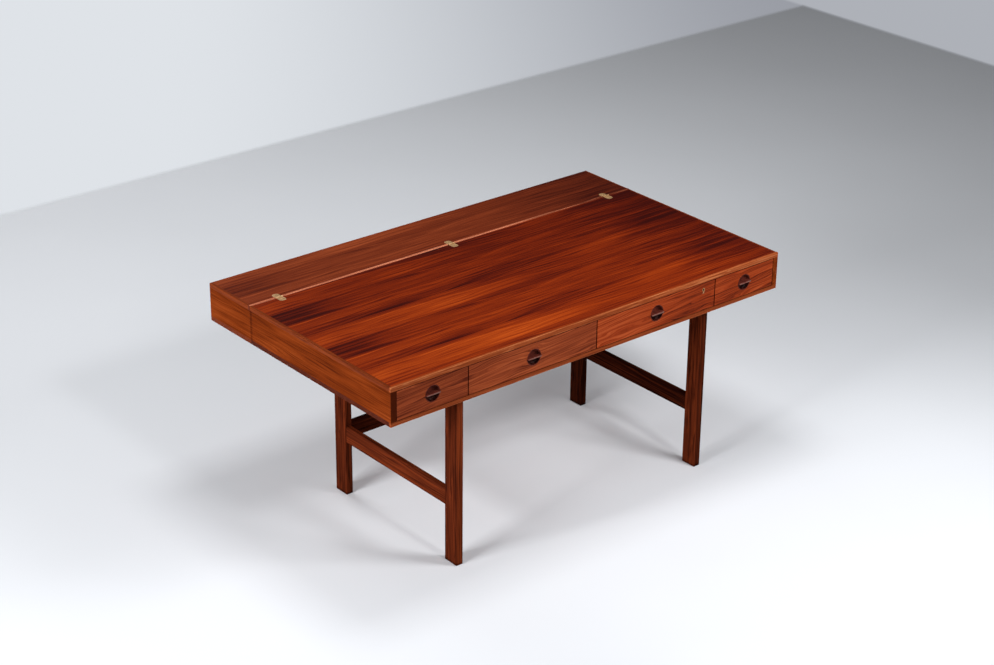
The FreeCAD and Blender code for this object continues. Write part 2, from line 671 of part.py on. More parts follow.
def drawer(name, bay_low, bay_high, front_low, front_high):
    """One drawer: front, dovetailed sides and back, loose bottom panel and pull."""
    box_low = bay_low + DRAWER_CLEARANCE
    box_high = bay_high - DRAWER_CLEARANCE
    inner_low = box_low + DRAWER_SIDE_THICKNESS
    inner_high = box_high - DRAWER_SIDE_THICKNESS
    pull_x = (front_low + front_high) / 2
    bottom = board(inner_low - BOTTOM_GROOVE, inner_high + BOTTOM_GROOVE, FRONT_INNER_Y - BOTTOM_GROOVE,
                   DRAWER_BACK_Y, BOTTOM_LOW_Z, BOTTOM_HIGH_Z)
    grooves = [runner_groove(LEFT, box_low), runner_groove(RIGHT, box_high)]
    left = drawer_side(box_low, inner_low).cut([bottom] + grooves)
    right = drawer_side(inner_high, box_high).cut([bottom] + grooves)
    back = board(box_low, box_high, DRAWER_BACK_Y - DRAWER_BACK_THICKNESS, DRAWER_BACK_Y, BOTTOM_HIGH_Z,
                 BOX_HIGH_Z - BACK_DROP)
    return {
        f"{name}_drawer_front": drawer_front(front_low, front_high).cut([left, right, bottom]),
        f"{name}_drawer_left_side": left,
        f"{name}_drawer_right_side": right,
        f"{name}_drawer_back": back.cut([left, right] + grooves),
        f"{name}_drawer_bottom": bottom,
        f"{name}_drawer_pull": fused([pull_cup(pull_x), pull_blade(pull_x)]),
    }


# Lock of the right inner drawer

def bolt_middle_y():
    """The middle of the bolt's thickness: it slides against the wall of the case, away from the key."""
    return FRONT_INNER_Y - LOCK_WALL - BOLT_CLEARANCE - BOLT_THICKNESS / 2


def keyhole(grow, y_low, y_high):
    """A round hole with a slot below it, as a solid between two depths."""
    radius = KEYHOLE_RADIUS + grow
    half_slot = KEYHOLE_SLOT / 2 + grow
    centre = FreeCAD.Vector(LOCK_X, y_low, LOCK_Z)
    eye = faceted_rod(centre, INWARDS, KEY_SIDES, [(radius, 0.0), (radius, y_high - y_low)])
    slot = board(LOCK_X - half_slot, LOCK_X + half_slot, y_low, y_high,
                 LOCK_Z - KEYHOLE_DROP - grow, LOCK_Z)
    return fused([eye, slot])


def lock_case_block():
    """The outer form of the case, mortised into the back of the drawer front."""
    half = LOCK_WIDTH / 2
    return board(LOCK_X - half, LOCK_X + half, FRONT_INNER_Y - LOCK_THICKNESS, FRONT_INNER_Y,
                 LOCK_Z - LOCK_BELOW_KEY, FRONT_HIGH_Z)


def bolt_low_z():
    """The lower edge of the bolt when it is drawn back."""
    return LOCK_Z - LOCK_BELOW_KEY + LOCK_WALL + BOLT_CLEARANCE


def lock_bolt():
    """A flat bolt that slides up on the key post, with a slot for the post."""
    half_width = BOLT_WIDTH / 2
    half_thickness = BOLT_THICKNESS / 2
    y = bolt_middle_y()
    plate = board(LOCK_X - half_width, LOCK_X + half_width, y - half_thickness, y + half_thickness,
                  bolt_low_z(), FRONT_HIGH_Z)
    reach = KEY_POST_RADIUS + BOLT_CLEARANCE
    slot = board(LOCK_X - reach, LOCK_X + reach, y - half_thickness, y + half_thickness,
                 LOCK_Z - BOLT_TRAVEL - reach, LOCK_Z + reach)
    return plate.cut(slot)


def lock():
    """The case with its key post, the bolt and the brass liner of the keyhole."""
    room = BOLT_CLEARANCE
    half_width = BOLT_WIDTH / 2 + room
    case_front = FRONT_INNER_Y - LOCK_THICKNESS
    channel = board(LOCK_X - half_width, LOCK_X + half_width, case_front + LOCK_WALL,
                    FRONT_INNER_Y - LOCK_WALL, bolt_low_z() - room, FRONT_HIGH_Z)
    case = lock_case_block().cut([channel, keyhole(0.0, case_front, case_front + LOCK_WALL)])
    foot = FreeCAD.Vector(LOCK_X, case_front + LOCK_WALL, LOCK_Z)
    post_length = LOCK_THICKNESS - 2 * LOCK_WALL
    post = faceted_rod(foot, INWARDS, KEY_SIDES, [(KEY_POST_RADIUS, 0.0), (KEY_POST_RADIUS, post_length)])
    liner_back = FRONT_Y + ESCUTCHEON_DEPTH
    liner = keyhole(ESCUTCHEON_WALL, FRONT_Y - ESCUTCHEON_PROUD, liner_back)
    return {
        "lock_case": fused([case, post]),
        "lock_bolt": lock_bolt(),
        "keyhole_escutcheon": liner.cut(keyhole(0.0, FRONT_Y - ESCUTCHEON_PROUD, liner_back)),
    }


def lock_cuts():
    """What the lock takes out of its drawer front."""
    liner = keyhole(ESCUTCHEON_WALL + GLUE_GAP, FRONT_Y, FRONT_Y + ESCUTCHEON_DEPTH)
    key_way = keyhole(0.0, FRONT_Y, FRONT_INNER_Y)
    return [lock_case_block(), liner, key_way]


def desk():
    """Every piece of the desk by name."""
    pieces = {**base_frame(), **carcase(), **flip_box(), **hinges(), **lock()}
    for name, bay in drawer_bays().items():
        pieces.update(drawer(name, *bay))
    locked = "right_inner_drawer_front"
    pieces[locked] = pieces[locked].cut(lock_cuts())
    return pieces


def main():
    """Writes one STEP file for each piece."""
    os.makedirs("parts", exist_ok=True)
    for name, shape in desk().items():
        shape.exportStep(f"parts/{name}.step")


main()
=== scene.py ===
"""The dressed flip-top desk: veneer, solid wood and brass finishes, turned pulls, hinges and keyhole."""

import json
import logging
import math
from dataclasses import dataclass, replace
from enum import Enum
from typing import Callable, Optional, Union

import bmesh
import bpy
from mathutils import Matrix, Vector


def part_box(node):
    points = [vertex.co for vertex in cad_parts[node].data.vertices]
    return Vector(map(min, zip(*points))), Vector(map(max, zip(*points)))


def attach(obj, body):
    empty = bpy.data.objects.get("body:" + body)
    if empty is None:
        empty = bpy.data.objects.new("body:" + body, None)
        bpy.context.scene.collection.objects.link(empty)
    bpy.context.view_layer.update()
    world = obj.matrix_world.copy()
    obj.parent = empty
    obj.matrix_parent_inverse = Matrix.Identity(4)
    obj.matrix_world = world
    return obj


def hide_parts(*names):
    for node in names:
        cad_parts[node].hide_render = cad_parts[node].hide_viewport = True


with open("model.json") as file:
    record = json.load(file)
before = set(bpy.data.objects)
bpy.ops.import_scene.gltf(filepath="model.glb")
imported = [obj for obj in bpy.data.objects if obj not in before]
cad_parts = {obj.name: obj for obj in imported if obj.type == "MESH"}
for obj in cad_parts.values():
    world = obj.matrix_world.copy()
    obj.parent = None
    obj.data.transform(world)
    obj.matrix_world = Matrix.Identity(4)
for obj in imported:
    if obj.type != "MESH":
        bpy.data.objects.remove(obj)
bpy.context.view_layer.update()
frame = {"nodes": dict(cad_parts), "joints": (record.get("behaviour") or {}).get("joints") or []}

log = logging.getLogger("desk")
logging.basicConfig(level=logging.INFO, format="%(name)s: %(message)s")

Object = bpy.types.Object
Material = bpy.types.Material
Socket = bpy.types.NodeSocket
Value = Union[float, Socket]

# The display's brightness curve
DISPLAY_TOP = 255
CURVE_KNEE = 0.04045
CURVE_SLOPE = 12.92
CURVE_OFFSET = 0.055
CURVE_POWER = 2.4

# Where nearly all of a noise lies, and its middle
NOISE_LOW = 0.3
NOISE_MIDDLE = 0.5
NOISE_HIGH = 0.7

# How far apart two places may lie that count as one, in metres, and how squarely a face has to point one way
SAME = 1e-6
CLOSE = 1e-5
ROUGHLY = 1e-4
FACING = 0.9

# Edges sharper than these are eased, or stay sharp in the shading
EASE_ANGLE = math.radians(35)
SMOOTH_ANGLE = math.radians(32)


# Colours and grain

class Tone(Enum):
    """Named colours of the desk and its studio, as display values from 0 to 255."""

    INK_PURPLE = (50, 12, 10)
    DARK_RED = (82, 20, 9)
    RED_BROWN = (120, 37, 10)
    WARM_BROWN = (148, 53, 13)
    FLAME_ORANGE = (180, 75, 22)
    FLIP_DARK = (56, 16, 11)
    FLIP_BROWN = (112, 44, 22)
    FLIP_LIGHT = (164, 78, 42)
    END_DARK = (66, 24, 10)
    END_BROWN = (114, 46, 15)
    END_GOLD = (146, 67, 27)
    FRONT_DARK = (72, 22, 9)
    FRONT_BROWN = (142, 63, 32)
    FRONT_LIGHT = (180, 92, 50)
    FRONT_RED_DARK = (60, 15, 6)
    FRONT_RED = (140, 51, 18)
    FRONT_RED_LIGHT = (180, 82, 40)
    EDGING_DARK = (104, 42, 16)
    EDGING_BROWN = (144, 66, 30)
    EDGING_TAN = (198, 122, 76)
    SEAM_DARK = (96, 40, 24)
    SEAM_PINK = (196, 114, 82)
    SEAM_LIGHT = (220, 144, 110)
    FRAME_DARK = (32, 10, 6)
    FRAME_BROWN = (86, 34, 17)
    FRAME_LIGHT = (134, 58, 28)
    INNER_DARK = (68, 26, 14)
    INNER_BROWN = (106, 46, 25)
    INNER_LIGHT = (142, 70, 40)
    BOX_DARK = (146, 102, 64)
    BOX_BROWN = (176, 132, 88)
    BOX_LIGHT = (200, 160, 114)
    PULL_BLACK = (22, 6, 5)
    PULL_BROWN = (112, 50, 40)
    PULL_HIGHLIGHT = (124, 88, 78)
    BRASS_DULL = (160, 124, 80)
    BRASS_BRIGHT = (206, 164, 118)
    LOCK_BLACK = (34, 30, 28)
    LOCK_GREY = (62, 58, 55)
    STEEL_DULL = (120, 118, 116)
    STEEL_BRIGHT = (158, 157, 155)
    FLOOR_PALE = (243, 246, 251)
    FLOOR_GREY = (238, 241, 246)
    BACKDROP_PALE = (223, 227, 232)
    BACKDROP_GREY = (154, 157, 165)
    SKY = (64, 65, 67)

    def linear(self) -> tuple[float, float, float, float]:
        """The colour in linear light, as shader sockets take it.

        Returns:
            Red, green, blue and an alpha of 1.
        """
        shares = [level / DISPLAY_TOP for level in self.value]
        red, green, blue = (share / CURVE_SLOPE if share <= CURVE_KNEE
                            else ((share + CURVE_OFFSET) / (1.0 + CURVE_OFFSET)) ** CURVE_POWER
                            for share in shares)
        return red, green, blue, 1.0


Stops = tuple[tuple[float, Tone], ...]


class Grain(Enum):
    """Which way a board's fibres run, as its axes along, across and through the face that shows."""

    TOP = ("X", "Y", "Z")
    FRONT = ("X", "Z", "Y")
    END = ("Y", "Z", "X")
    END_EDGE = ("Y", "X", "Z")
    UPRIGHT = ("Z", "X", "Y")


class Bench:
    """A material's node tree, with a short call for each kind of node that the finishes use."""

    def __init__(self, name: str) -> None:
        """Start an empty material.

        Args:
            name: The material's name.
        """
        self.material: Material = bpy.data.materials.new(name)
        self.material.use_nodes = True
        self.tree = self.material.node_tree
        self.tree.nodes.clear()
        self.output = self.node("ShaderNodeOutputMaterial")

    def node(self, kind: str) -> bpy.types.Node:
        """Add a node of one kind and return it."""
        return self.tree.nodes.new(kind)

    def feed(self, socket: Socket, value: Union[Value, tuple]) -> None:
        """Set a socket to a constant, or link another socket to it.

        Args:
            socket: The socket that is fed.
            value: The constant, or the socket to link.
        """
        if isinstance(value, bpy.types.NodeSocket):
            self.tree.links.new(value, socket)
        else:
            socket.default_value = value

    def place(self) -> dict[str, Socket]:
        """The point's Object coordinates in metres.

        Returns:
            One socket for each of X, Y and Z.
        """
        split = self.node("ShaderNodeSeparateXYZ")
        self.feed(split.inputs[0], self.node("ShaderNodeTexCoord").outputs["Object"])
        return {axis: split.outputs[axis] for axis in "XYZ"}

    def math(self, operation: str, first: Value, second: Value = 0.0, third: Value = 0.0) -> Socket:
        """Work out one sum on up to three values.

        Args:
            operation: The Math node's operation.
            first: Its first value.
            second: Its second value.
            third: Its third value.

        Returns:
            The result.
        """
        node = self.node("ShaderNodeMath")
        node.operation = operation
        for socket, value in zip(node.inputs, (first, second, third)):
            self.feed(socket, value)
        return node.outputs[0]

    def smooth(self, value: Value, low: Value, high: Value, start: float = 0.0, end: float = 1.0) -> Socket:
        """Ease from start to end while a value goes from low to high.

        Args:
            value: The value that is followed.
            low: Where the change begins.
            high: Where the change is complete.
            start: The result up to low.
            end: The result from high on.

        Returns:
            The eased result.
        """
        node = self.node("ShaderNodeMapRange")
        node.interpolation_type = "SMOOTHSTEP"
        for name, setting in (("Value", value), ("From Min", low), ("From Max", high),
                              ("To Min", start), ("To Max", end)):
            self.feed(node.inputs[name], setting)
        return node.outputs[0]

    def join(self, x: Value, y: Value, z: Value) -> Socket:
        """Make a vector of three values.

        Args:
            x: Its first value.
            y: Its second value.
            z: Its third value.

        Returns:
            The vector.
        """
        node = self.node("ShaderNodeCombineXYZ")
        for socket, value in zip(node.inputs, (x, y, z)):
            self.feed(socket, value)
        return node.outputs[0]

    def noise(self, vector: Socket, detail: float) -> Socket:
        """Soft noise from 0 to 1 with features about one unit of the vector wide.

        Args:
            vector: Where the noise is read.
            detail: How many finer layers it has.

        Returns:
            The noise value.
        """
        node = self.node("ShaderNodeTexNoise")
        self.feed(node.inputs["Vector"], vector)
        self.feed(node.inputs["Scale"], 1.0)
        self.feed(node.inputs["Detail"], detail)
        return node.outputs[0]

    def ramp(self, value: Socket, stops: Stops) -> Socket:
        """Turn a value from 0 to 1 into a colour.

        Args:
            value: The value to colour.
            stops: Positions from 0 to 1, each with its tone.

        Returns:
            The colour.
        """
        node = self.node("ShaderNodeValToRGB")
        band = node.color_ramp
        while len(band.elements) < len(stops):
            band.elements.new(1.0)
        for element, (position, tone) in zip(band.elements, stops):
            element.position = position
            element.color = tone.linear()
        self.feed(node.inputs[0], value)
        return node.outputs[0]

    def surface(self, colour: Socket, roughness: Value, relief: Optional[Socket], depth: float,
                **constants: float) -> Material:
        """End the tree in a shader.

        Args:
            colour: The base colour.
            roughness: How dull the surface is.
            relief: A height from 0 to 1, or none for a smooth surface.
            depth: The relief's height in metres.
            constants: Other shader sockets, spelt with underscores, and their values.

        Returns:
            The finished material.
        """
        shader = self.node("ShaderNodeBsdfPrincipled")
        self.feed(shader.inputs["Base Color"], colour)
        self.feed(shader.inputs["Roughness"], roughness)
        for name, value in constants.items():
            self.feed(shader.inputs[name.replace("_", " ")], value)
        if relief is not None:
            bump = self.node("ShaderNodeBump")
            self.feed(bump.inputs["Distance"], depth)
            self.feed(bump.inputs["Height"], relief)
            self.feed(shader.inputs["Normal"], bump.outputs[0])
        self.feed(self.output.inputs["Surface"], shader.outputs[0])
        return self.material

    def show_to_camera(self, share: Socket, colour: Socket) -> None:
        """Lay a plain colour over part of the finished surface, for the rays that see it and not as light.

        Args:
            share: How much of the colour shows.
            colour: The colour, at full strength.
        """
        rays = self.node("ShaderNodeLightPath")
        kinds = [rays.outputs[f"Is {kind} Ray"] for kind in ("Camera", "Glossy", "Transmission")]
        seen = self.math("MAXIMUM", kinds[0], self.math("MAXIMUM", kinds[1], kinds[2]))
        glow = self.node("ShaderNodeEmission")
        self.feed(glow.inputs["Color"], colour)
        mix = self.node("ShaderNodeMixShader")
        self.feed(mix.inputs[0], self.math("MULTIPLY", seen, share))
        self.feed(mix.inputs[1], self.output.inputs["Surface"].links[0].from_socket)
        self.feed(mix.inputs[2], glow.outputs[0])
        self.feed(self.output.inputs["Surface"], mix.outputs[0])


# Finishes

@dataclass(frozen=True)
class Leaf:
    """How a top is laid with leaves of one veneer log, so that its figure repeats across the grain."""

    back_edge: float
    width: float = 0.300


@dataclass(frozen=True)
class Mark:
    """A long dark or light mark in the figure, in metres along and across the grain.

    It runs from start to end. Its middle and its half width change evenly on the way.
    """

    start: float
    end: float
    middle: float
    half: float
    strength: float
    end_middle: Optional[float] = None
    end_half: Optional[float] = None
    fade_in: float = 0.25
    fade_out: float = 0.25
    core: float = 0.35

    def shade(self, bench: Bench, along: Socket, across: Socket) -> Socket:
        """How much the mark lightens a point.

        Args:
            bench: The material that the mark is in.
            along: The point's place along the grain.
            across: Its place across the grain.

        Returns:
            The mark's strength there, and 0 away from it.
        """
        end_middle = self.middle if self.end_middle is None else self.end_middle
        end_half = self.half if self.end_half is None else self.end_half
        share = bench.math("DIVIDE", bench.math("SUBTRACT", along, self.start), self.end - self.start)
        middle = bench.math("MULTIPLY_ADD", share, end_middle - self.middle, self.middle)
        half = bench.math("MULTIPLY_ADD", share, end_half - self.half, self.half)
        offset = bench.math("ABSOLUTE", bench.math("SUBTRACT", across, middle))
        body = bench.smooth(bench.math("DIVIDE", offset, half), self.core, 1.0, self.strength, 0.0)
        begun = bench.smooth(share, 0.0, self.fade_in)
        ended = bench.smooth(share, 1.0 - self.fade_out, 1.0, 1.0, 0.0)
        return bench.math("MULTIPLY", body, bench.math("MULTIPLY", begun, ended))


@dataclass(frozen=True)
class Streaks:
    """One layer of the grain: streaks of about this length and width, and how much they lighten or darken."""

    length: float
    width: float
    strength: float
    detail: float = 2.0


@dataclass(frozen=True)
class WoodFinish:
    """Lacquered wood: bands, streaks, ink lines, fibres and pores along the grain, with marks and trims.

    The marks belong to the figure and wander with it. The trims belong to the piece's edges and keep their place.
    """

    name: str
    grain: Grain
    tones: Stops
    marks: tuple[Mark, ...] = ()
    trims: tuple[Mark, ...] = ()
    leaf: Optional[Leaf] = None
    slope: float = 0.0
    lightness: float = 0.5
    # How much lighter the wood is painted per metre towards the front, standing in for light falloff
    painted_front_light: float = 0.0
    wander: Streaks = Streaks(0.35, 0.050, 0.005)
    bands: Streaks = Streaks(0.90, 0.030, 0.06)
    streaks: Streaks = Streaks(0.40, 0.005, 0.10, 3.0)
    ink: Streaks = Streaks(0.60, 0.012, -0.16)
    fibres: Streaks = Streaks(0.20, 0.0020, 0.20, 3.0)
    pores: Streaks = Streaks(0.012, 0.0006, -0.10)
    ink_share: float = 0.06
    pore_start: float = 0.60
    pore_full: float = 0.72
    fibre_gloss: float = 0.5
    roughness: float = 0.42
    specular: float = 0.025
    pore_depth: float = 0.00005

    def build(self) -> Material:
        """Make the finish as a material.

        Returns:
            The material, read from Object coordinates.
        """
        bench = Bench(self.name)
        place = bench.place()
        along, across, through = (place[axis] for axis in self.grain.value)
        straight = across
        if self.leaf is not None:
            forwards = bench.math("SUBTRACT", self.leaf.back_edge, across)
            across = bench.math("WRAP", forwards, self.leaf.width, 0.0)
        across = bench.math("MULTIPLY_ADD", along, -self.slope, across)

        def layer(streaks: Streaks) -> Socket:
            """Noise from 0 to 1, drawn out along the grain.

            Args:
                streaks: The layer's size and detail.

            Returns:
                The noise.
            """
            spot = bench.join(bench.math("DIVIDE", along, streaks.length),
                              bench.math("DIVIDE", across, streaks.width),
                              bench.math("DIVIDE", through, streaks.width))
            return bench.noise(spot, streaks.detail)

        def spread(streaks: Streaks) -> Socket:
            """The layer's lightening, from minus to plus its strength."""
            return bench.smooth(layer(streaks), NOISE_LOW, NOISE_HIGH, -streaks.strength, streaks.strength)

        across = bench.math("ADD", across, spread(self.wander))
        # Lighter towards the front: painted light falloff
        light = bench.math("MULTIPLY_ADD", place["Y"], -self.painted_front_light, self.lightness)
        light = bench.math("ADD", light, spread(self.bands))
        light = bench.math("ADD", light, spread(self.streaks))
        contour = bench.math("ABSOLUTE", bench.math("SUBTRACT", layer(self.ink), NOISE_MIDDLE))
        light = bench.math("ADD", light, bench.smooth(contour, 0.0, self.ink_share, self.ink.strength, 0.0))
        for mark in self.marks:
            light = bench.math("ADD", light, mark.shade(bench, along, across))
        for trim in self.trims:
            light = bench.math("ADD", light, trim.shade(bench, along, straight))
        fibre = spread(self.fibres)
        light = bench.math("ADD", light, fibre)
        pore = bench.smooth(layer(self.pores), self.pore_start, self.pore_full)
        light = bench.math("MULTIPLY_ADD", pore, self.pores.strength, light)
        gloss = bench.math("MULTIPLY", fibre, self.fibre_gloss)
        roughness = bench.math("SUBTRACT", self.roughness, gloss)
        hollow = bench.math("SUBTRACT", 1.0, pore)
        return bench.surface(bench.ramp(light, self.tones), roughness, hollow, self.pore_depth,
                             Specular_IOR_Level=self.specular)


@dataclass(frozen=True)
class MetalFinish:
    """Worn metal with cloudy tarnish and fine rubbing marks."""

    name: str
    tarnished: Tone
    polished: Tone
    cloud: float = 0.010
    cloud_detail: float = 3.0
    scratch: float = 0.0006
    scratch_length: float = 0.020
    scratch_detail: float = 2.0
    scratch_share: float = 0.5
    dull_up_to: float = 0.25
    bright_from: float = 0.7
    roughness: float = 0.45
    tarnish_roughness: float = 0.12
    scratch_depth: float = 0.00002
    metal: float = 1.0

    def build(self) -> Material:
        """Make the finish as a material.

        Returns:
            The material, read from Object coordinates.
        """
        bench = Bench(self.name)
        place = bench.place()
        cloudy = bench.join(*(bench.math("DIVIDE", place[axis], self.cloud) for axis in "XYZ"))
        rubbed = bench.join(bench.math("DIVIDE", place["X"], self.scratch),
                            bench.math("DIVIDE", place["Y"], self.scratch_length),
                            bench.math("DIVIDE", place["Z"], self.scratch))
        tarnish = bench.noise(cloudy, self.cloud_detail)
        marks = bench.noise(rubbed, self.scratch_detail)
        rubbing = bench.math("SUBTRACT", marks, NOISE_MIDDLE)
        polish = bench.math("MULTIPLY_ADD", rubbing, self.scratch_share, tarnish)
        colour = bench.ramp(polish, ((self.dull_up_to, self.tarnished), (self.bright_from, self.polished)))
        dull = bench.smooth(tarnish, NOISE_LOW, NOISE_HIGH, self.roughness + self.tarnish_roughness, self.roughness)
        return bench.surface(colour, dull, marks, self.scratch_depth, Metallic=self.metal)


@dataclass(frozen=True)
class FloorFinish:
    """A pale painted studio floor with a faint mottle, and a paler backdrop all round that only the camera sees,
    greying to the right and back as painted light falloff.
    """

    name: str = "floor_paint"
    mottle: float = 1.7
    mottle_detail: float = 3.0
    roughness: float = 0.8
    specular: float = 0.1
    backdrop_y: float = 3.03
    backdrop_x: float = 4.74
    backdrop_edge: float = 0.05
    backdrop_slant: float = 0.65
    pale_x: float = 0.4
    grey_x: float = 4.8
    side_lift: float = 0.24
    near_edge: float = -4.2
    far_edge: float = -6.2
    front_pale: float = -6.0
    front_grey: float = -2.0

    def build(self) -> Material:
        """Make the finish as a material.

        Returns:
            The material, read from Object coordinates.
        """
        bench = Bench(self.name)
        place = bench.place()
        spot = bench.join(*(bench.math("DIVIDE", place[axis], self.mottle) for axis in "XYZ"))
        mottle = bench.noise(spot, self.mottle_detail)
        colour = bench.ramp(mottle, ((NOISE_LOW, Tone.FLOOR_PALE), (NOISE_HIGH, Tone.FLOOR_GREY)))
        floor = bench.surface(colour, self.roughness, None, 0.0, Specular_IOR_Level=self.specular)
        behind = bench.smooth(place["Y"], self.backdrop_y, self.backdrop_y + self.backdrop_edge)
        beside = bench.smooth(place["X"], self.backdrop_x, self.backdrop_x + self.backdrop_edge)
        depth = bench.math("SUBTRACT", place["Y"], self.backdrop_y)
        along = bench.math("MULTIPLY_ADD", depth, -self.backdrop_slant, place["X"])
        # Paler at the left and front, greyer to the right and back: painted light falloff on the backdrop
        share = bench.smooth(along, self.pale_x, self.grey_x)
        share = bench.math("MULTIPLY", share, bench.math("MULTIPLY_ADD", beside, -self.side_lift, 1.0))
        share = bench.math("MULTIPLY", share, bench.smooth(place["Y"], self.front_pale, self.front_grey))
        wall = bench.ramp(share, ((0.0, Tone.BACKDROP_PALE), (1.0, Tone.BACKDROP_GREY)))
        reach = bench.math("MINIMUM", place["X"], place["Y"])
        far = bench.smooth(reach, self.far_edge, self.near_edge, 1.0, 0.0)
        bench.show_to_camera(bench.math("MAXIMUM", far, bench.math("MAXIMUM", behind, beside)), wall)
        return floor


Finish = Union[WoodFinish, MetalFinish, FloorFinish]


def evenly(*tones: Tone) -> Stops:
    """Spread tones evenly from 0 to 1."""
    return tuple((index / (len(tones) - 1), tone) for index, tone in enumerate(tones))


TOP_TONES = evenly(Tone.INK_PURPLE, Tone.DARK_RED, Tone.RED_BROWN, Tone.WARM_BROWN, Tone.FLAME_ORANGE)
# The flip top's tones are lighter and greyer than the main top's: a painted sheen
FLIP_TONES = evenly(Tone.FLIP_DARK, Tone.FLIP_BROWN, Tone.FLIP_LIGHT)
END_TONES = evenly(Tone.END_DARK, Tone.END_BROWN, Tone.END_GOLD)
# The left drawers' tones are paler and pinker than the right drawers' red ones: a painted sheen
FRONT_TONES = evenly(Tone.FRONT_DARK, Tone.FRONT_BROWN, Tone.FRONT_LIGHT)
FRONT_RED_TONES = evenly(Tone.FRONT_RED_DARK, Tone.FRONT_RED, Tone.FRONT_RED_LIGHT)
EDGING_TONES = evenly(Tone.EDGING_DARK, Tone.EDGING_BROWN, Tone.EDGING_TAN)
# The seam's pale pink tones are a painted highlight along the flip box's front arris
SEAM_TONES = evenly(Tone.SEAM_DARK, Tone.SEAM_PINK, Tone.SEAM_LIGHT)
FRAME_TONES = evenly(Tone.FRAME_DARK, Tone.FRAME_BROWN, Tone.FRAME_LIGHT)
INNER_TONES = evenly(Tone.INNER_DARK, Tone.INNER_BROWN, Tone.INNER_LIGHT)
BOX_TONES = evenly(Tone.BOX_DARK, Tone.BOX_BROWN, Tone.BOX_LIGHT)
# The pull's palest tone shows only in the painted highlight on the blade's nose
PULL_TONES = ((0.0, Tone.PULL_BLACK), (0.6, Tone.PULL_BROWN), (1.0, Tone.PULL_HIGHLIGHT))

# The figure of one veneer leaf of the tops, as start, end, middle, half width and strength of each mark.
# Across the grain, places are measured forwards from the leaf's dark back edge.
LEAF_FIGURE = (
    Mark(-0.83, -0.48, 0.050, 0.056, -0.11, fade_in=0.01, fade_out=0.75, core=0.75),
    Mark(-0.83, -0.60, 0.046, 0.044, -0.13, fade_in=0.01, fade_out=0.6, core=0.6),
    Mark(-0.83, -0.44, 0.015, 0.010, -0.15, fade_in=0.01, fade_out=0.7),
    Mark(-0.83, -0.48, 0.036, 0.005, -0.12, fade_in=0.01, fade_out=0.7),
    Mark(-0.83, -0.42, 0.059, 0.007, -0.16, fade_in=0.01, fade_out=0.7),
    Mark(-0.83, -0.47, 0.085, 0.008, -0.16, fade_in=0.01, fade_out=0.7),
    Mark(-0.83, -0.50, 0.046, 0.004, 0.10, fade_in=0.01, fade_out=0.6),
    Mark(-0.83, -0.50, 0.073, 0.004, 0.10, fade_in=0.01, fade_out=0.6),
    Mark(-0.83, -0.55, 0.102, 0.004, 0.18, fade_in=0.01, fade_out=0.6),
    Mark(-0.83, -0.55, 0.296, 0.005, 0.14, fade_in=0.01, fade_out=0.6),
    Mark(-0.83, -0.10, 0.132, 0.032, 0.06, fade_in=0.01, fade_out=0.7),
    Mark(-0.78, -0.10, 0.184, 0.022, -0.10, end_middle=0.170, end_half=0.050, fade_in=0.3, fade_out=0.5),
    Mark(-0.74, -0.24, 0.196, 0.008, -0.28, end_middle=0.190, end_half=0.024,
         fade_in=0.5, fade_out=0.5, core=0.2),
    Mark(-0.26, 0.00, 0.190, 0.003, -0.17, end_middle=0.186, end_half=0.034,
         fade_in=0.2, fade_out=0.8, core=0.1),
    Mark(-0.38, 0.34, 0.190, 0.026, -0.16, end_middle=0.155, end_half=0.080, fade_in=0.4, fade_out=0.5),
    Mark(-0.76, 0.10, 0.212, 0.005, 0.24, end_middle=0.250, end_half=0.007, fade_in=0.2, fade_out=0.3),
    Mark(-0.83, 0.16, 0.258, 0.050, 0.11, end_middle=0.274, end_half=0.040, fade_in=0.01, fade_out=0.5),
    Mark(-0.56, 0.14, 0.262, 0.050, 0.13, end_middle=0.276, end_half=0.036, fade_in=0.45, fade_out=0.5),
    Mark(-0.83, -0.70, 0.255, 0.046, 0.12, fade_in=0.01, fade_out=0.7),
    # This broad mark and the last one darken the right part of every leaf: painted light falloff, partly the
    # veneer's own tone
    Mark(-0.25, 0.83, 0.150, 0.400, -0.08, fade_in=0.5, fade_out=0.01, core=0.95),
    Mark(0.16, 0.60, 0.215, 0.040, 0.12, fade_in=0.4, fade_out=0.4),
    Mark(0.25, 0.83, 0.110, 0.016, -0.14, end_middle=0.130, fade_in=0.4, fade_out=0.01),
    Mark(0.05, 0.83, 0.060, 0.030, -0.08, end_middle=0.045, fade_in=0.4, fade_out=0.01),
    Mark(0.40, 0.83, 0.170, 0.012, -0.14, end_middle=0.160, fade_in=0.4, fade_out=0.01),
    Mark(0.00, 0.83, 0.285, 0.020, 0.08, fade_in=0.4, fade_out=0.01),
    Mark(0.45, 0.83, 0.150, 0.400, -0.22, fade_in=0.8, fade_out=0.01, core=0.95),
)
FADED_SHARE = 0.6
FADED_FIGURE = tuple(replace(mark, strength=FADED_SHARE * mark.strength) for mark in LEAF_FIGURE)
FLIP_SHADE = (Mark(0.00, 0.83, 0.370, 0.300, -0.20, fade_in=0.9, fade_out=0.01),)
PLAIN_LEAF = Mark(-0.75, 0.30, 0.215, 0.075, -0.20, fade_in=0.4, fade_out=0.4)
FRONT_STRIP = Mark(-0.83, -0.50, -0.460, 0.016, 0.30, fade_in=0.01, fade_out=0.8, core=0.8)
CENTRE_SHADE = Mark(-0.42, 0.30, -0.112, 0.085, -0.08, fade_in=0.4, fade_out=0.4)

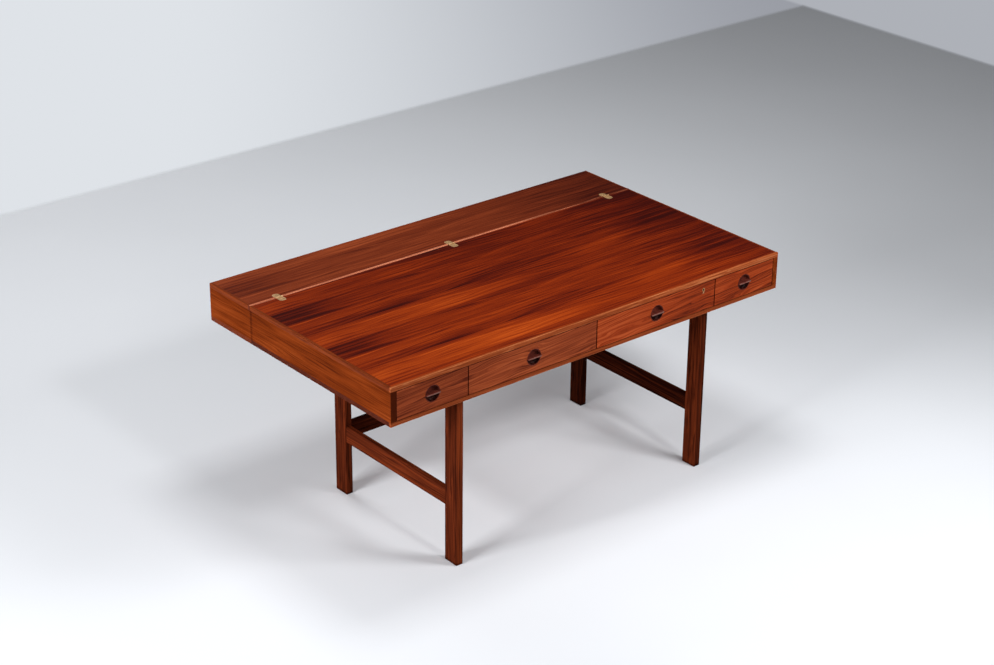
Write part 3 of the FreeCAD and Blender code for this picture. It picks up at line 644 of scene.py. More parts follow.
# The marks of the ends: a ragged dark strip at the foot, a shaded edge at the seam and a dark front edge
END_FOOT = Mark(-0.50, 0.50, 0.603, 0.010, -0.35, fade_in=0.01, fade_out=0.01, core=0.2)
END_SEAM = Mark(0.2400, 0.2560, 0.665, 0.200, -0.22, fade_in=0.6, fade_out=0.01)
END_FRONT = Mark(-0.4810, -0.4780, 0.665, 0.200, -0.60, fade_in=0.05, fade_out=0.2)
BOTTOM_ENDS = tuple(Mark(side * 0.8090, side * 0.8140, 0.0, 2.0, -0.40, fade_in=0.3, fade_out=0.01, core=0.9)
                    for side in (-1, 1))
END_WAVES = (
    Mark(0.24, 0.50, 0.690, 0.006, -0.16, end_middle=0.724),
    Mark(0.24, 0.50, 0.640, 0.020, -0.14, end_middle=0.652),
    Mark(0.24, 0.50, 0.670, 0.008, 0.12, end_middle=0.684),
)

# The seam's edging is painted pale as a highlight along its arris, and that painted light fades to the right; its
# ends are dark. The front and foot edgings carry painted arris highlights
SEAM_SHADE = (
    Mark(0.15, 0.83, 0.260, 0.040, -0.45, fade_in=0.7, fade_out=0.01),
    Mark(-0.8140, -0.8105, 0.260, 0.040, -0.80, fade_in=0.05, fade_out=0.1),
)
# A painted highlight along the front edging's top arris, and the edging lighter towards the right
FRONT_ARRIS_HIGHLIGHT = (
    Mark(-0.83, 0.83, -0.4774, 0.0018, 0.30, fade_in=0.01, fade_out=0.01),
    Mark(0.10, 0.83, -0.470, 0.040, 0.10, fade_in=0.6, fade_out=0.01, core=0.8),
)
# A painted highlight along the foot edging's lower arris, and painted shade along its top where it meets the
# drawers
FOOT_EDGE_HIGHLIGHT_AND_SHADE = (
    Mark(-0.83, 0.83, 0.6000, 0.0028, 0.30, fade_in=0.01, fade_out=0.01),
    Mark(-0.83, 0.83, 0.6140, 0.0012, -0.40, fade_in=0.01, fade_out=0.01),
)
# Painted shade under the blade, and a painted highlight along the blade's nose
PULL_SHADE = Mark(-0.4800, -0.4000, 0.6480, 0.0170, -0.32, fade_in=0.05, fade_out=0.05)
PULL_NOSE_HIGHLIGHT = Mark(-0.4870, -0.4838, 0.6645, 0.0300, 0.50, fade_in=0.05, fade_out=0.5, core=0.9)

# The main top is painted lighter towards the front and darker to the right: painted light falloff, partly the
# veneer's own tone
MAIN_TOP = WoodFinish("main_top_veneer", Grain.TOP, TOP_TONES, LEAF_FIGURE, (PLAIN_LEAF, FRONT_STRIP, CENTRE_SHADE),
                      Leaf(back_edge=0.158), painted_front_light=0.30)
# The flip top's raised lightness adds to its painted sheen
FLIP_TOP = WoodFinish("flip_top_veneer", Grain.TOP, FLIP_TONES, FADED_FIGURE, FLIP_SHADE,
                      Leaf(back_edge=0.428), lightness=0.57)
MAIN_END = WoodFinish("main_end_veneer", Grain.END, END_TONES, (END_FOOT,), (END_SEAM, END_FRONT),
                      bands=Streaks(0.25, 0.040, 0.18), specular=0.0)
RIGHT_END = replace(MAIN_END, name="right_end_veneer", trims=(END_SEAM,))
FLIP_END = WoodFinish("flip_end_veneer", Grain.END, END_TONES, (END_FOOT, *END_WAVES), lightness=0.56,
                      bands=Streaks(0.25, 0.040, 0.18), specular=0.0)
FRONT_EDGING = WoodFinish("front_edging", Grain.TOP, EDGING_TONES, trims=FRONT_ARRIS_HIGHLIGHT, lightness=0.42)
FOOT_EDGING = WoodFinish("foot_edging", Grain.FRONT, EDGING_TONES, trims=FOOT_EDGE_HIGHLIGHT_AND_SHADE, lightness=0.36)
SEAM_EDGING = WoodFinish("seam_edging", Grain.TOP, SEAM_TONES, trims=SEAM_SHADE)
END_EDGING = WoodFinish("end_edging", Grain.END_EDGE, END_TONES)
FRAME_STREAKS = Streaks(0.40, 0.006, 0.16, 3.0)
FRAME_INK = Streaks(0.50, 0.014, -0.24)
# Darker at the very foot of each leg: a painted contact shadow
FOOT_SHADOW = Mark(-0.030, 0.014, 0.0, 2.0, -0.30, fade_in=0.01, fade_out=0.3, core=0.9)
# Painted shade on the front left leg's left face, painted light on the front right leg's left face
LEFT_LEG_FACE_SHADE = Mark(-0.50, 1.00, -0.5325, 0.0020, -0.21, fade_in=0.01, fade_out=0.01)
RIGHT_LEG_FACE_LIGHT = Mark(-0.50, 1.00, 0.5065, 0.0020, 0.30, fade_in=0.01, fade_out=0.01)
UPRIGHT_WOOD = WoodFinish("upright_wood", Grain.UPRIGHT, FRAME_TONES, trims=(FOOT_SHADOW,), streaks=FRAME_STREAKS,
                          ink=FRAME_INK, specular=0.0)
# Lighter and darker copies of the frame wood stand in for light and shade: the front left leg and the left
# stretcher painted lighter; the front right leg, back right leg, right stretcher, upper rails and back stretcher
# painted darker
LEFT_LEG_WOOD = replace(UPRIGHT_WOOD, name="left_leg_wood", lightness=0.66, trims=(FOOT_SHADOW, LEFT_LEG_FACE_SHADE))
RIGHT_LEG_WOOD = replace(UPRIGHT_WOOD, name="right_leg_wood", lightness=0.30, trims=(FOOT_SHADOW, RIGHT_LEG_FACE_LIGHT))
SHADED_UPRIGHT_WOOD = replace(UPRIGHT_WOOD, name="shaded_upright_wood", lightness=0.16)
SIDE_RAIL_WOOD = replace(UPRIGHT_WOOD, name="side_rail_wood", grain=Grain.END, lightness=0.56, trims=())
SHADED_RAIL_WOOD = replace(SIDE_RAIL_WOOD, name="shaded_rail_wood", lightness=0.16)
BACK_RAIL_WOOD = replace(SIDE_RAIL_WOOD, name="back_rail_wood", grain=Grain.FRONT, lightness=0.26)
INNER_LONG_WOOD = WoodFinish("inner_long_wood", Grain.TOP, INNER_TONES, roughness=0.55)
BOTTOM_WOOD = replace(INNER_LONG_WOOD, name="bottom_wood", trims=BOTTOM_ENDS)
INNER_DEEP_WOOD = WoodFinish("inner_deep_wood", Grain.END, INNER_TONES, roughness=0.55)
BOX_LONG_WOOD = WoodFinish("box_long_wood", Grain.FRONT, BOX_TONES, roughness=0.55)
BOX_DEEP_WOOD = WoodFinish("box_deep_wood", Grain.END, BOX_TONES, roughness=0.55)
PULL_WOOD = WoodFinish("pull_wood", Grain.END, PULL_TONES, trims=(PULL_NOSE_HIGHLIGHT, PULL_SHADE), lightness=0.42,
                       streaks=Streaks(0.40, 0.009, 0.07), fibres=Streaks(0.20, 0.0030, 0.05),
                       pores=Streaks(0.012, 0.0006, -0.03), roughness=0.35, specular=0.04)
BRASS = MetalFinish("aged_brass", Tone.BRASS_DULL, Tone.BRASS_BRIGHT, metal=0.4)
LOCK_STEEL = MetalFinish("lock_steel", Tone.LOCK_BLACK, Tone.LOCK_GREY)
STEEL = MetalFinish("dull_steel", Tone.STEEL_DULL, Tone.STEEL_BRIGHT)


class Finishes:
    """Every finish of the desk, made once and handed out as a material."""

    def __init__(self) -> None:
        """Start with no finish made."""
        self.made: dict[str, Material] = {}

    def take(self, finish: Finish) -> Material:
        """The material of a finish, made at its first use.

        Args:
            finish: The finish that is wanted.

        Returns:
            Its material.
        """
        if finish.name not in self.made:
            self.made[finish.name] = finish.build()
        return self.made[finish.name]

    def dress(self, finish: Finish, *nodes: str) -> None:
        """Give CAD nodes a finish.

        Args:
            finish: The finish to give.
            nodes: The names of the nodes.
        """
        for name in nodes:
            for slot in frame["nodes"][name].material_slots:
                slot.material = self.take(finish)
            log.info("%s dressed in %s", name, finish.name)


# Modelling by hand

class Shape(Enum):
    """How two pieces are put together."""

    ADD = "UNION"
    CUT = "DIFFERENCE"


def begin(name: str) -> Object:
    """Name the primitive just added, and move its place and size into its mesh.

    Args:
        name: The new piece's name.

    Returns:
        The piece, at the origin.
    """
    piece = bpy.context.active_object
    piece.name = name
    piece.data.name = name
    bpy.ops.object.transform_apply(location=True, rotation=True, scale=True)
    return piece


def add_block(name: str, low: Vector, high: Vector) -> Object:
    """Add a block between two corners.

    Args:
        name: The block's name.
        low: Its lowest corner.
        high: Its highest corner.

    Returns:
        The block.
    """
    bpy.ops.object.select_all(action="DESELECT")
    bpy.ops.mesh.primitive_cube_add(size=1.0, location=(low + high) / 2, scale=high - low)
    return begin(name)


def add_rod(name: str, start: Vector, end: Vector, radius: float, end_radius: float, sides: int) -> Object:
    """Add a round bar, straight or tapered, between two points.

    Args:
        name: The bar's name.
        start: The middle of its first end.
        end: The middle of its other end.
        radius: Its radius at the first end.
        end_radius: Its radius at the other end.
        sides: How many sides it has.

    Returns:
        The bar.
    """
    bpy.ops.object.select_all(action="DESELECT")
    axis = end - start
    bpy.ops.mesh.primitive_cone_add(vertices=sides, radius1=radius, radius2=end_radius, depth=axis.length,
                                    location=(start + end) / 2,
                                    rotation=axis.to_track_quat("Z", "Y").to_euler())
    return begin(name)


def pick_faces(piece: Object, test: Callable[[Vector, Vector], bool]) -> None:
    """Select, in edit mode, only the faces that pass a test.

    Args:
        piece: The piece in edit mode.
        test: Given a face's middle and normal, says whether it is wanted.
    """
    bpy.ops.mesh.select_mode(type="FACE")
    bpy.ops.mesh.select_all(action="DESELECT")
    mesh = bmesh.from_edit_mesh(piece.data)
    for face in mesh.faces:
        face.select_set(test(face.calc_center_median(), face.normal))
    bmesh.update_edit_mesh(piece.data)


def pick_edges(piece: Object, test: Callable[[Vector, Vector], bool]) -> None:
    """Select, in edit mode, only the edges that pass a test.

    Args:
        piece: The piece in edit mode.
        test: Given an edge's two ends, says whether it is wanted.
    """
    bpy.ops.mesh.select_mode(type="EDGE")
    bpy.ops.mesh.select_all(action="DESELECT")
    mesh = bmesh.from_edit_mesh(piece.data)
    for edge in mesh.edges:
        edge.select_set(test(edge.verts[0].co, edge.verts[1].co))
    bmesh.update_edit_mesh(piece.data)


def put_together(piece: Object, tool: Object, shape: Shape) -> None:
    """Add a second piece to a first or cut the first with it; the second is used up.

    Args:
        piece: The piece that stays.
        tool: The piece that is used up.
        shape: Whether the tool is added or cut away.
    """
    joint = piece.modifiers.new("joint", "BOOLEAN")
    joint.operation = shape.value
    joint.solver = "EXACT"
    joint.object = tool
    bpy.ops.object.select_all(action="DESELECT")
    bpy.context.view_layer.objects.active = piece
    bpy.ops.object.modifier_apply(modifier=joint.name)
    bpy.data.objects.remove(tool, do_unlink=True)


def ease_edges(piece: Object, width: float, segments: int = 2) -> None:
    """Ease every sharp edge of a piece.

    Args:
        piece: The piece to ease.
        width: How wide the eased strip is.
        segments: How many flats the strip has.
    """
    bevel = piece.modifiers.new("eased", "BEVEL")
    bevel.width = width
    bevel.segments = segments
    bevel.limit_method = "ANGLE"
    bevel.angle_limit = EASE_ANGLE
    bpy.context.view_layer.objects.active = piece
    bpy.ops.object.modifier_apply(modifier=bevel.name)


def copy_piece(piece: Object, name: str, move: Vector) -> Object:
    """Copy a finished piece to another place, with a mesh of its own.

    Args:
        piece: The piece to copy.
        name: The copy's name.
        move: How far the copy is moved.

    Returns:
        The copy.
    """
    twin = piece.copy()
    twin.data = piece.data.copy()
    twin.name = name
    twin.data.name = name
    twin.data.transform(Matrix.Translation(move))
    bpy.context.scene.collection.objects.link(twin)
    return twin


def place_piece(piece: Object, material: Material, body: str, node: str) -> None:
    """Smooth a new piece, give it its finish and let it stand for a CAD node.

    Args:
        piece: The new piece.
        material: Its finish.
        body: The CAD body that it rides on.
        node: The CAD node that it stands for.
    """
    bpy.ops.object.select_all(action="DESELECT")
    piece.select_set(True)
    bpy.context.view_layer.objects.active = piece
    bpy.ops.object.shade_smooth_by_angle(angle=SMOOTH_ANGLE)
    piece.data.materials.clear()
    piece.data.materials.append(material)
    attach(piece, body)
    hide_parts(node)
    log.info("%s rides on %s for %s, %d faces", piece.name, body, node, len(piece.data.polygons))


# Sub-assemblies

Dressing = tuple[tuple[Finish, tuple[str, ...]], ...]


@dataclass
class Assembly:
    """A sub-assembly whose CAD nodes show as they are, with the finish of each."""

    dressing: Dressing = ()

    def dress(self, finishes: Finishes) -> None:
        """Give every node its finish.

        Args:
            finishes: The desk's finishes.
        """
        for finish, nodes in self.dressing:
            finishes.dress(finish, *nodes)


@dataclass
class LegFrame(Assembly):
    """Four flat legs, two low side stretchers, a back stretcher, the upper rails and the screws."""

    dressing: Dressing = (
        (UPRIGHT_WOOD, ("back_left_leg",)),
        (LEFT_LEG_WOOD, ("front_left_leg",)),
        (RIGHT_LEG_WOOD, ("front_right_leg",)),
        (SHADED_UPRIGHT_WOOD, ("back_right_leg",)),
        (SIDE_RAIL_WOOD, ("left_stretcher",)),
        (SHADED_RAIL_WOOD, ("right_stretcher", "left_upper_rail", "right_upper_rail")),
        (BACK_RAIL_WOOD, ("back_stretcher",)),
        (STEEL, ("base_screws",)),
    )


@dataclass
class Carcase(Assembly):
    """The drawer carcase under the writing top, with plain wood inside."""

    dressing: Dressing = (
        (MAIN_TOP, ("top_panel",)),
        (FRONT_EDGING, ("top_front_lipping",)),
        (FOOT_EDGING, ("bottom_front_lipping",)),
        (END_EDGING, ("top_end_lippings",)),
        (MAIN_END, ("left_side_panel",)),
        (RIGHT_END, ("right_side_panel",)),
        (BOTTOM_WOOD, ("bottom_panel",)),
        (INNER_LONG_WOOD, ("back_panel",)),
        (INNER_DEEP_WOOD, ("drawer_dividers", "drawer_runners")),
    )


@dataclass
class FlipBox(Assembly):
    """The rear box, which turns over onto the writing top, with plain wood inside."""

    dressing: Dressing = (
        (FLIP_TOP, ("flip_top_panel",)),
        (SEAM_EDGING, ("flip_front_lipping",)),
        (END_EDGING, ("flip_end_lippings",)),
        (FLIP_END, ("flip_left_end", "flip_right_end")),
        (INNER_LONG_WOOD, ("flip_bottom_panel", "flip_inner_panel")),
        (INNER_DEEP_WOOD, ("flip_dividers",)),
    )


@dataclass
class TurnedPull:
    """A round cup let into a drawer front, with a finger blade across its mouth."""

    rim: float = 0.0020
    floor_depth: float = 0.0120
    hollow: float = 0.0115
    lip: float = 0.0007
    blade_root: float = 0.0060
    blade_edge: float = 0.0040
    blade_corner: float = 0.0040
    blade_nose: float = 0.0013
    overlap: float = 0.0004
    sides: int = 80
    hollow_flats: int = 10
    lip_flats: int = 3
    corner_flats: int = 8
    nose_flats: int = 3

    def build(self, name: str, node: str, front: str) -> Object:
        """Model the pull where its CAD node is.

        Args:
            name: The pull's name.
            node: The CAD node that it stands for.
            front: The drawer front that it is let into.

        Returns:
            The pull.
        """
        low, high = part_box(node)
        mouth_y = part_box(front)[0].y
        middle = Vector(((low.x + high.x) / 2, mouth_y, (low.z + high.z) / 2))
        outer = (high.x - low.x) / 2
        pull = self.turn_cup(name, middle, outer, high.y - mouth_y)
        put_together(pull, self.shape_blade(middle, outer - self.overlap, mouth_y - low.y), Shape.ADD)
        return pull

    def turn_cup(self, name: str, middle: Vector, outer: float, depth: float) -> Object:
        """Model the cup: a turned disc with a hollow that has a round inner corner.

        Args:
            name: The cup's name.
            middle: The middle of its mouth.
            outer: Its outer radius.
            depth: Its depth.

        Returns:
            The cup.
        """
        cup = add_rod(name, middle, middle + Vector((0, depth, 0)), outer, outer, self.sides)
        mouth = outer - self.rim
        floor_y = middle.y + self.floor_depth

        def on_ring(end: Vector, y: float) -> bool:
            """Whether the end of an edge is on the ring of the mouth's width at one depth."""
            radius = math.hypot(end.x - middle.x, end.z - middle.z)
            return abs(end.y - y) < CLOSE and abs(radius - mouth) < ROUGHLY

        bpy.ops.object.mode_set(mode="EDIT")
        pick_faces(cup, lambda centre, normal: normal.y < -FACING)
        bpy.ops.mesh.inset(thickness=self.rim)
        bpy.ops.mesh.extrude_region_move(TRANSFORM_OT_translate={"value": (0, self.floor_depth, 0)})
        pick_edges(cup, lambda one, other: on_ring(one, floor_y) and on_ring(other, floor_y))
        bpy.ops.mesh.bevel(offset=self.hollow, segments=self.hollow_flats, affect="EDGES")
        pick_edges(cup, lambda one, other: on_ring(one, middle.y) and on_ring(other, middle.y))
        bpy.ops.mesh.bevel(offset=self.lip, segments=self.lip_flats, affect="EDGES")
        bpy.ops.object.mode_set(mode="OBJECT")
        return cup

    def shape_blade(self, middle: Vector, reach: float, proud: float) -> Object:
        """Model the blade: it thins towards a round nose, with round corners.

        Args:
            middle: The middle of the cup's mouth.
            reach: Half the blade's length.
            proud: How far it stands out of the drawer front.

        Returns:
            The blade.
        """
        half = Vector((reach, 0, self.blade_root / 2))
        nose = middle - Vector((0, proud, 0))
        root = middle + Vector((0, self.floor_depth + self.overlap, 0))
        blade = add_block("blade", nose - half, root + half)
        bpy.ops.object.mode_set(mode="EDIT")
        pick_faces(blade, lambda centre, normal: normal.y < -FACING)
        bpy.ops.transform.resize(value=(1, 1, self.blade_edge / self.blade_root), center_override=nose)
        pick_edges(blade, lambda one, other: max(one.y, other.y) < nose.y + CLOSE
                   and abs(one.x - other.x) < SAME)
        bpy.ops.mesh.bevel(offset=self.blade_corner, segments=self.corner_flats, affect="EDGES")
        pick_edges(blade, lambda one, other: abs(one.z - other.z) < SAME
                   and max(one.y, other.y) < nose.y + self.blade_corner + CLOSE
                   and max(abs(one.x - middle.x), abs(other.x - middle.x)) <= half.x + SAME)
        bpy.ops.mesh.bevel(offset=self.blade_nose, segments=self.nose_flats, affect="EDGES")
        bpy.ops.object.mode_set(mode="OBJECT")
        return blade


@dataclass
class Drawer:
    """One drawer: a veneered front, a dovetailed box and a turned pull."""

    name: str
    tones: Stops
    lightness: float
    ink_strength: float
    marks: tuple[Mark, ...] = ()
    grain_climb: float = 0.05
    # The painted shade along the front's edges: its width, strength, fades and core
    shade_rim: float = 0.0012
    rim_strength: float = -0.6
    rim_fade_in: float = 0.1
    rim_fade_out: float = 0.5
    rim_core: float = 0.9
    wander: Streaks = Streaks(0.30, 0.040, 0.008)
    ink_length: float = 0.60
    ink_width: float = 0.013

    def body(self) -> str:
        """The CAD body of the drawer."""
        return f"{self.name}_drawer"

    def dress(self, finishes: Finishes) -> None:
        """Finish the front and the box.

        Args:
            finishes: The desk's finishes.
        """
        body = self.body()
        low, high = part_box(f"{body}_front")
        finishes.dress(self.front_finish(low, high), f"{body}_front")
        finishes.dress(BOX_DEEP_WOOD, f"{body}_left_side", f"{body}_right_side")
        finishes.dress(BOX_LONG_WOOD, f"{body}_back", f"{body}_bottom")

    def front_finish(self, low: Vector, high: Vector) -> WoodFinish:
        """The finish of the front, with painted shade along its edges where they meet the gaps.

        Args:
            low: The front's lowest corner.
            high: The front's highest corner.

        Returns:
            The finish.
        """
        rise = (low.z + high.z) / 2
        tall = high.z - low.z
        long = high.x - low.x
        # Painted shade at both ends and along the top and bottom edges
        rim = self.shade_rim
        ends = tuple(Mark(x - rim, x + rim, rise, tall, self.rim_strength, fade_in=self.rim_fade_in,
                          fade_out=self.rim_fade_out, core=self.rim_core)
                     for x in (low.x, high.x))
        edges = tuple(Mark(low.x - long, high.x + long, z, rim, self.rim_strength) for z in (low.z, high.z))
        return WoodFinish(f"{self.name}_front_veneer", Grain.FRONT, self.tones, self.marks, ends + edges,
                          slope=self.grain_climb, lightness=self.lightness, wander=self.wander,
                          ink=Streaks(self.ink_length, self.ink_width, self.ink_strength))

    def fit_pull(self, pull: Object, finishes: Finishes) -> None:
        """Let a finished pull ride on the drawer."""
        place_piece(pull, finishes.take(PULL_WOOD), self.body(), f"{self.body()}_pull")


@dataclass
class DrawerLock:
    """The lock of one drawer: case, bolt and the brass liner of its keyhole."""

    wall: float = 0.0010
    eye: float = 0.0044
    slot: float = 0.0036
    eased: float = 0.00025
    margin: float = 0.002
    sides: int = 48

    def build(self, finishes: Finishes) -> None:
        """Model the liner with a round eye and dress the lock.

        Args:
            finishes: The desk's finishes.
        """
        finishes.dress(LOCK_STEEL, "lock_case", "lock_bolt")
        low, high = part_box("keyhole_escutcheon")
        liner = self.keyhole("keyhole_liner", low, high, self.wall, 0.0)
        put_together(liner, self.keyhole("key_way", low, high, 0.0, self.margin), Shape.CUT)
        ease_edges(liner, self.eased)
        place_piece(liner, finishes.take(BRASS), "right_inner_drawer", "keyhole_escutcheon")

    def keyhole(self, name: str, low: Vector, high: Vector, grow: float, margin: float) -> Object:
        """Model a keyhole as a solid: a round eye above a slot.

        Args:
            name: The solid's name.
            low: The lowest corner of the liner.
            high: The highest corner of the liner.
            grow: How much larger than the hole the solid is.
            margin: How far it runs past the liner's front and back.

        Returns:
            The solid.
        """
        middle_x = (low.x + high.x) / 2
        eye_z = high.z - self.wall - self.eye
        front = Vector((middle_x, low.y - margin, eye_z))
        back = Vector((middle_x, high.y + margin, eye_z))
        solid = add_rod(name, front, back, self.eye + grow, self.eye + grow, self.sides)
        half = self.slot / 2 + grow
        foot_z = low.z + self.wall - grow
        slot = add_block("slot", Vector((middle_x - half, front.y, foot_z)),
                         Vector((middle_x + half, back.y, eye_z)))
        put_together(solid, slot, Shape.ADD)
        return solid


class Heading(Enum):
    """Which way a hinge leaf lies from the seam, as its sign along Y."""

    FRONT = -1
    REAR = 1


@dataclass
class Hinges:
    """Three flush brass hinges across the seam, with countersunk slotted screws."""

    width: float = 0.0250
    leaf_length: float = 0.0290
    thickness: float = 0.0025
    corner: float = 0.0100
    corner_flats: int = 10
    knuckle: float = 0.0030
    knuckle_gap: float = 0.0004
    middle_knuckle: float = 0.0090
    pin: float = 0.0015
    screw_spacing: float = 0.0130
    screw_from_seam: float = 0.0170
    screw_head: float = 0.0030
    screw_shank: float = 0.0014
    screw_length: float = 0.0050
    screw_room: float = 0.0001
    screw_ring: float = 0.0005
    slot_width: float = 0.0008
    slot_depth: float = 0.0007
    slot_reach: float = 0.0060
    eased: float = 0.0003
    sides: int = 40

    def build(self, finishes: Finishes) -> None:
        """Model one hinge and copy it to all three places.

        Args:
            finishes: The desk's finishes.
        """
        finishes.dress(BRASS, "hinge_pins")
        brass = finishes.take(BRASS)
        axis = Vector(next(joint["pos_m"] for joint in frame["joints"] if joint["name"] == "flip_hinge"))
        top_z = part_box("top_panel")[1].z
        outer_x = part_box("hinge_pins")[1].x - self.width / 2
        places = (-outer_x, 0.0, outer_x)
        first = Vector((places[0], axis.y, axis.z))
        for kind, body, heading in (("fixed", "desk", Heading.FRONT), ("moving", "flip_box", Heading.REAR)):
            leaf = self.cut_leaf(f"hinge_{kind}_leaf_1", first, top_z, heading)
            heads = self.screw_places(first, top_z, heading)
            screw = self.turn_screw(f"hinge_{kind}_screw_1", heads[0])
            for index, x in enumerate(places):
                move = Vector((x - places[0], 0, 0))
                twin = leaf if index == 0 else copy_piece(leaf, f"hinge_{kind}_leaf_{index + 1}", move)
                place_piece(twin, brass, body, f"hinge_{kind}_leaves")
                for side, head in enumerate(heads):
                    number = 2 * index + side + 1
                    shift = head - heads[0] + move
                    fastener = screw if number == 1 else copy_piece(screw, f"hinge_{kind}_screw_{number}", shift)
                    place_piece(fastener, brass, body, f"hinge_{kind}_screws")

    def screw_places(self, place: Vector, top_z: float, heading: Heading) -> list[Vector]:
        """Where the two screw heads of one leaf lie.

        Args:
            place: The hinge's place on the axis.
            top_z: The level of the desk's top.
            heading: Which way the leaf lies.

        Returns:
            The middles of the two heads.
        """
        y = place.y + heading.value * self.screw_from_seam
        half = self.screw_spacing / 2
        return [Vector((place.x - half, y, top_z)), Vector((place.x + half, y, top_z))]

    def cut_leaf(self, name: str, place: Vector, top_z: float, heading: Heading) -> Object:
        """Model a leaf with round corners, its knuckles and its countersinks.

        Args:
            name: The leaf's name.
            place: The hinge's place on the axis.
            top_z: The level of the desk's top.
            heading: Which way the leaf lies.

        Returns:
            The leaf.
        """
        half = self.width / 2
        far_y = place.y + heading.value * self.leaf_length
        low = Vector((place.x - half, min(place.y, far_y), top_z - self.thickness))
        high = Vector((place.x + half, max(place.y, far_y), top_z))
        leaf = add_block(name, low, high)
        bpy.ops.object.mode_set(mode="EDIT")
        pick_edges(leaf, lambda one, other: abs(one.y - far_y) < SAME and abs(other.y - far_y) < SAME
                   and abs(one.z - other.z) > ROUGHLY)
        bpy.ops.mesh.bevel(offset=self.corner, segments=self.corner_flats, affect="EDGES")
        bpy.ops.object.mode_set(mode="OBJECT")
        middle = self.middle_knuckle / 2
        outer = ((-half, -middle - self.knuckle_gap), (middle + self.knuckle_gap, half))
        inner = ((-middle, middle),)
        own, others = (outer, inner) if heading is Heading.FRONT else (inner, outer)
        gap = self.knuckle_gap
        for start, end in others:
            put_together(leaf, self.barrel(place, start - gap, end + gap, self.knuckle + gap), Shape.CUT)
        for start, end in own:
            put_together(leaf, self.barrel(place, start, end, self.knuckle), Shape.ADD)
        put_together(leaf, self.barrel(place, -self.width, self.width, self.pin + self.screw_room), Shape.CUT)
        for head in self.screw_places(place, top_z, heading):
            room = self.screw_room
            rise = Vector((0, 0, room))
            sink = head - Vector((0, 0, self.screw_head - self.screw_shank))
            cone = add_rod("countersink", sink - rise, head + rise, self.screw_shank + room,
                           self.screw_head + self.screw_ring, self.sides)
            put_together(leaf, cone, Shape.CUT)
            bore = add_rod("bore", sink - Vector((0, 0, self.thickness)), sink, self.screw_shank + room,
                           self.screw_shank + room, self.sides)
            put_together(leaf, bore, Shape.CUT)
        ease_edges(leaf, self.eased)
        return leaf

    def barrel(self, place: Vector, start: float, end: float, radius: float) -> Object:
        """Add a stretch of the barrel, measured along the axis from the hinge's middle."""
        along = Vector((1, 0, 0))
        return add_rod("barrel", place + along * start, place + along * end, radius, radius, self.sides)

    def turn_screw(self, name: str, head: Vector) -> Object:
        """Model a countersunk screw head with a driver slot.

        Args:
            name: The screw's name.
            head: The middle of its head.

        Returns:
            The screw.
        """
        down = Vector((0, 0, self.screw_head - self.screw_shank))
        screw = add_rod(name, head - down, head, self.screw_shank, self.screw_head, self.sides)
        bpy.ops.object.mode_set(mode="EDIT")
        pick_faces(screw, lambda centre, normal: normal.z < -FACING)
        bpy.ops.mesh.extrude_region_move(TRANSFORM_OT_translate={"value": (0, 0, -self.screw_length)})
        bpy.ops.object.mode_set(mode="OBJECT")
        half = Vector((self.slot_reach, self.slot_width / 2, self.slot_depth))
        slot = add_block("slot", head - half, head + half)
        put_together(screw, slot, Shape.CUT)
        return screw


# Studio

@dataclass(frozen=True)
class SoftBox:
    """A square soft light that hangs at a place and faces the desk."""

    name: str
    place: tuple[float, float, float]
    size: float
    power: float
    mirrored: bool = True
    target: tuple[float, float, float] = (0.0, 0.0, 0.5)

    def hang(self) -> None:
        """Add the light to the scene."""
        lamp = bpy.data.lights.new(self.name, "AREA")
        lamp.size = self.size
        lamp.energy = self.power
        box = bpy.data.objects.new(self.name, lamp)
        sight = Vector(self.target) - Vector(self.place)
        box.location = self.place
        box.visible_camera = False
        box.visible_glossy = self.mirrored
        box.rotation_euler = sight.to_track_quat("-Z", "Y").to_euler()
        bpy.context.scene.collection.objects.link(box)


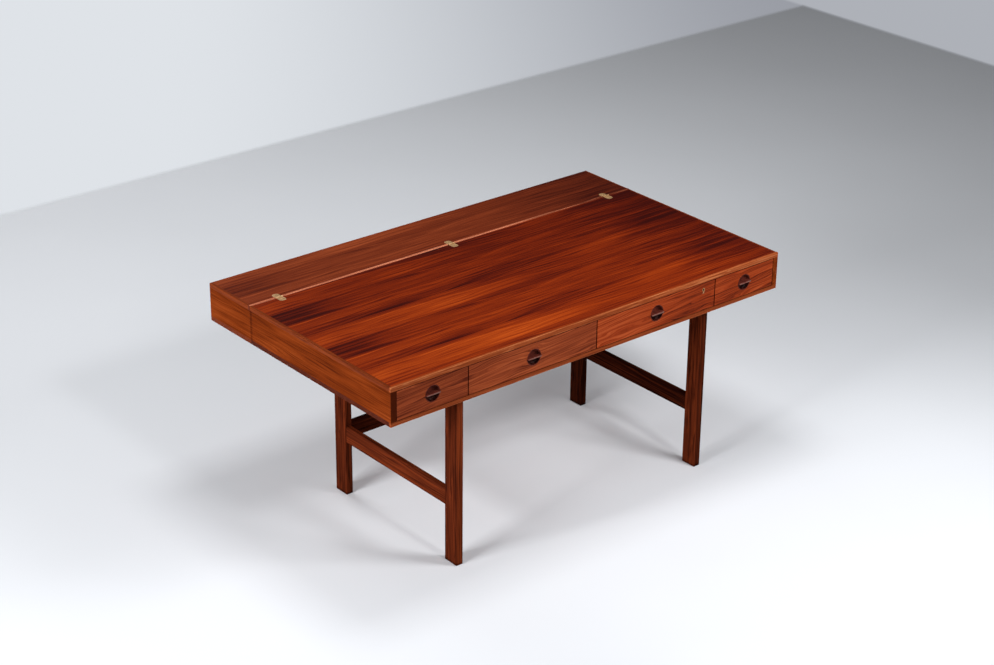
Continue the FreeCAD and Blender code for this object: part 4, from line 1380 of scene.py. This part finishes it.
@dataclass
class Studio:
    """The floor, the soft light and the camera that stand round the desk."""

    floor_size: float = 400.0
    sky_strength: float = 1.0
    camera_place: tuple[float, float, float] = (-4.28135, -5.10793, 3.64246)
    camera_target: tuple[float, float, float] = (-0.14837, -0.16642, 0.6)
    camera_roll: float = 0.011017
    lens: float = 80.2257
    sensor: float = 36.0
    boxes: tuple[SoftBox, ...] = (
        SoftBox("left_box", (-5.85, -0.5, 2.35), 2.3, 315.0, mirrored=False),
        SoftBox("right_front_box", (0.9, -1.95, 2.1), 0.80, 38.0),
        SoftBox("high_box", (0.1, 0.0, 3.65), 0.9, 31.0),
        SoftBox("back_box", (-0.2, 4.5, 3.8), 2.7, 76.0),
        SoftBox("front_box", (-0.4, -6.25, 5.35), 0.7, 95.0),
    )

    def build(self, finishes: Finishes) -> None:
        """Lay the floor, hang the lights and set the camera.

        Args:
            finishes: The desk's finishes.
        """
        bpy.ops.object.select_all(action="DESELECT")
        bpy.ops.mesh.primitive_plane_add(size=self.floor_size)
        floor = bpy.context.active_object
        floor.name = "studio_floor"
        floor.data.materials.append(finishes.take(FloorFinish()))
        for box in self.boxes:
            box.hang()
        world = bpy.data.worlds.new("studio_sky")
        world.use_nodes = True
        sky = world.node_tree.nodes["Background"]
        sky.inputs["Color"].default_value = Tone.SKY.linear()
        sky.inputs["Strength"].default_value = self.sky_strength
        bpy.context.scene.world = world
        bpy.context.scene.view_settings.view_transform = "Standard"
        self.set_camera()

    def set_camera(self) -> None:
        """Set the camera where the picture was taken from."""
        lens = bpy.data.cameras.new("studio_camera")
        lens.lens = self.lens
        lens.sensor_width = self.sensor
        lens.sensor_fit = "HORIZONTAL"
        camera = bpy.data.objects.new("studio_camera", lens)
        sight = Vector(self.camera_target) - Vector(self.camera_place)
        turn = sight.to_track_quat("-Z", "Y").to_matrix().to_4x4() @ Matrix.Rotation(self.camera_roll, 4, "Z")
        camera.matrix_world = Matrix.Translation(self.camera_place) @ turn
        bpy.context.scene.collection.objects.link(camera)
        bpy.context.scene.camera = camera


# The four drawers, from left to right, and the whole desk

# Painted light and shade across the inner drawers: the left one darker to its right, the right one lighter at its
# left and darker at its right
LEFT_INNER_SHADE = (Mark(-0.27, 0.00, 0.6645, 0.200, -0.12, fade_in=0.7, fade_out=0.01),)
RIGHT_INNER_SHADE = (
    Mark(0.00, 0.34, 0.6645, 0.200, 0.16, fade_in=0.01, fade_out=0.9),
    Mark(0.24, 0.53, 0.6645, 0.200, -0.14, fade_in=0.7, fade_out=0.01),
)
DRAWERS = (
    Drawer("left_outer", FRONT_TONES, 0.42, -0.20),
    Drawer("left_inner", FRONT_TONES, 0.54, -0.22, LEFT_INNER_SHADE),
    Drawer("right_inner", FRONT_RED_TONES, 0.58, -0.30, RIGHT_INNER_SHADE),
    Drawer("right_outer", FRONT_RED_TONES, 0.54, -0.30),
)


def build_drawers(finishes: Finishes) -> None:
    """Dress the four drawers, model one pull and copy it to the others.

    Args:
        finishes: The desk's finishes.
    """
    first = DRAWERS[0].body()
    model = TurnedPull().build(f"{first}_turned_pull", f"{first}_pull", f"{first}_front")
    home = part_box(f"{first}_pull")[0]
    for drawer in DRAWERS:
        drawer.dress(finishes)
        body = drawer.body()
        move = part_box(f"{body}_pull")[0] - home
        pull = model if body == first else copy_piece(model, f"{body}_turned_pull", move)
        drawer.fit_pull(pull, finishes)


def main() -> None:
    """Dress the frame, build the new pieces and set the studio."""
    finishes = Finishes()
    LegFrame().dress(finishes)
    Carcase().dress(finishes)
    FlipBox().dress(finishes)
    Hinges().build(finishes)
    build_drawers(finishes)
    DrawerLock().build(finishes)
    Studio().build(finishes)


if __name__ == "__main__":
    main()
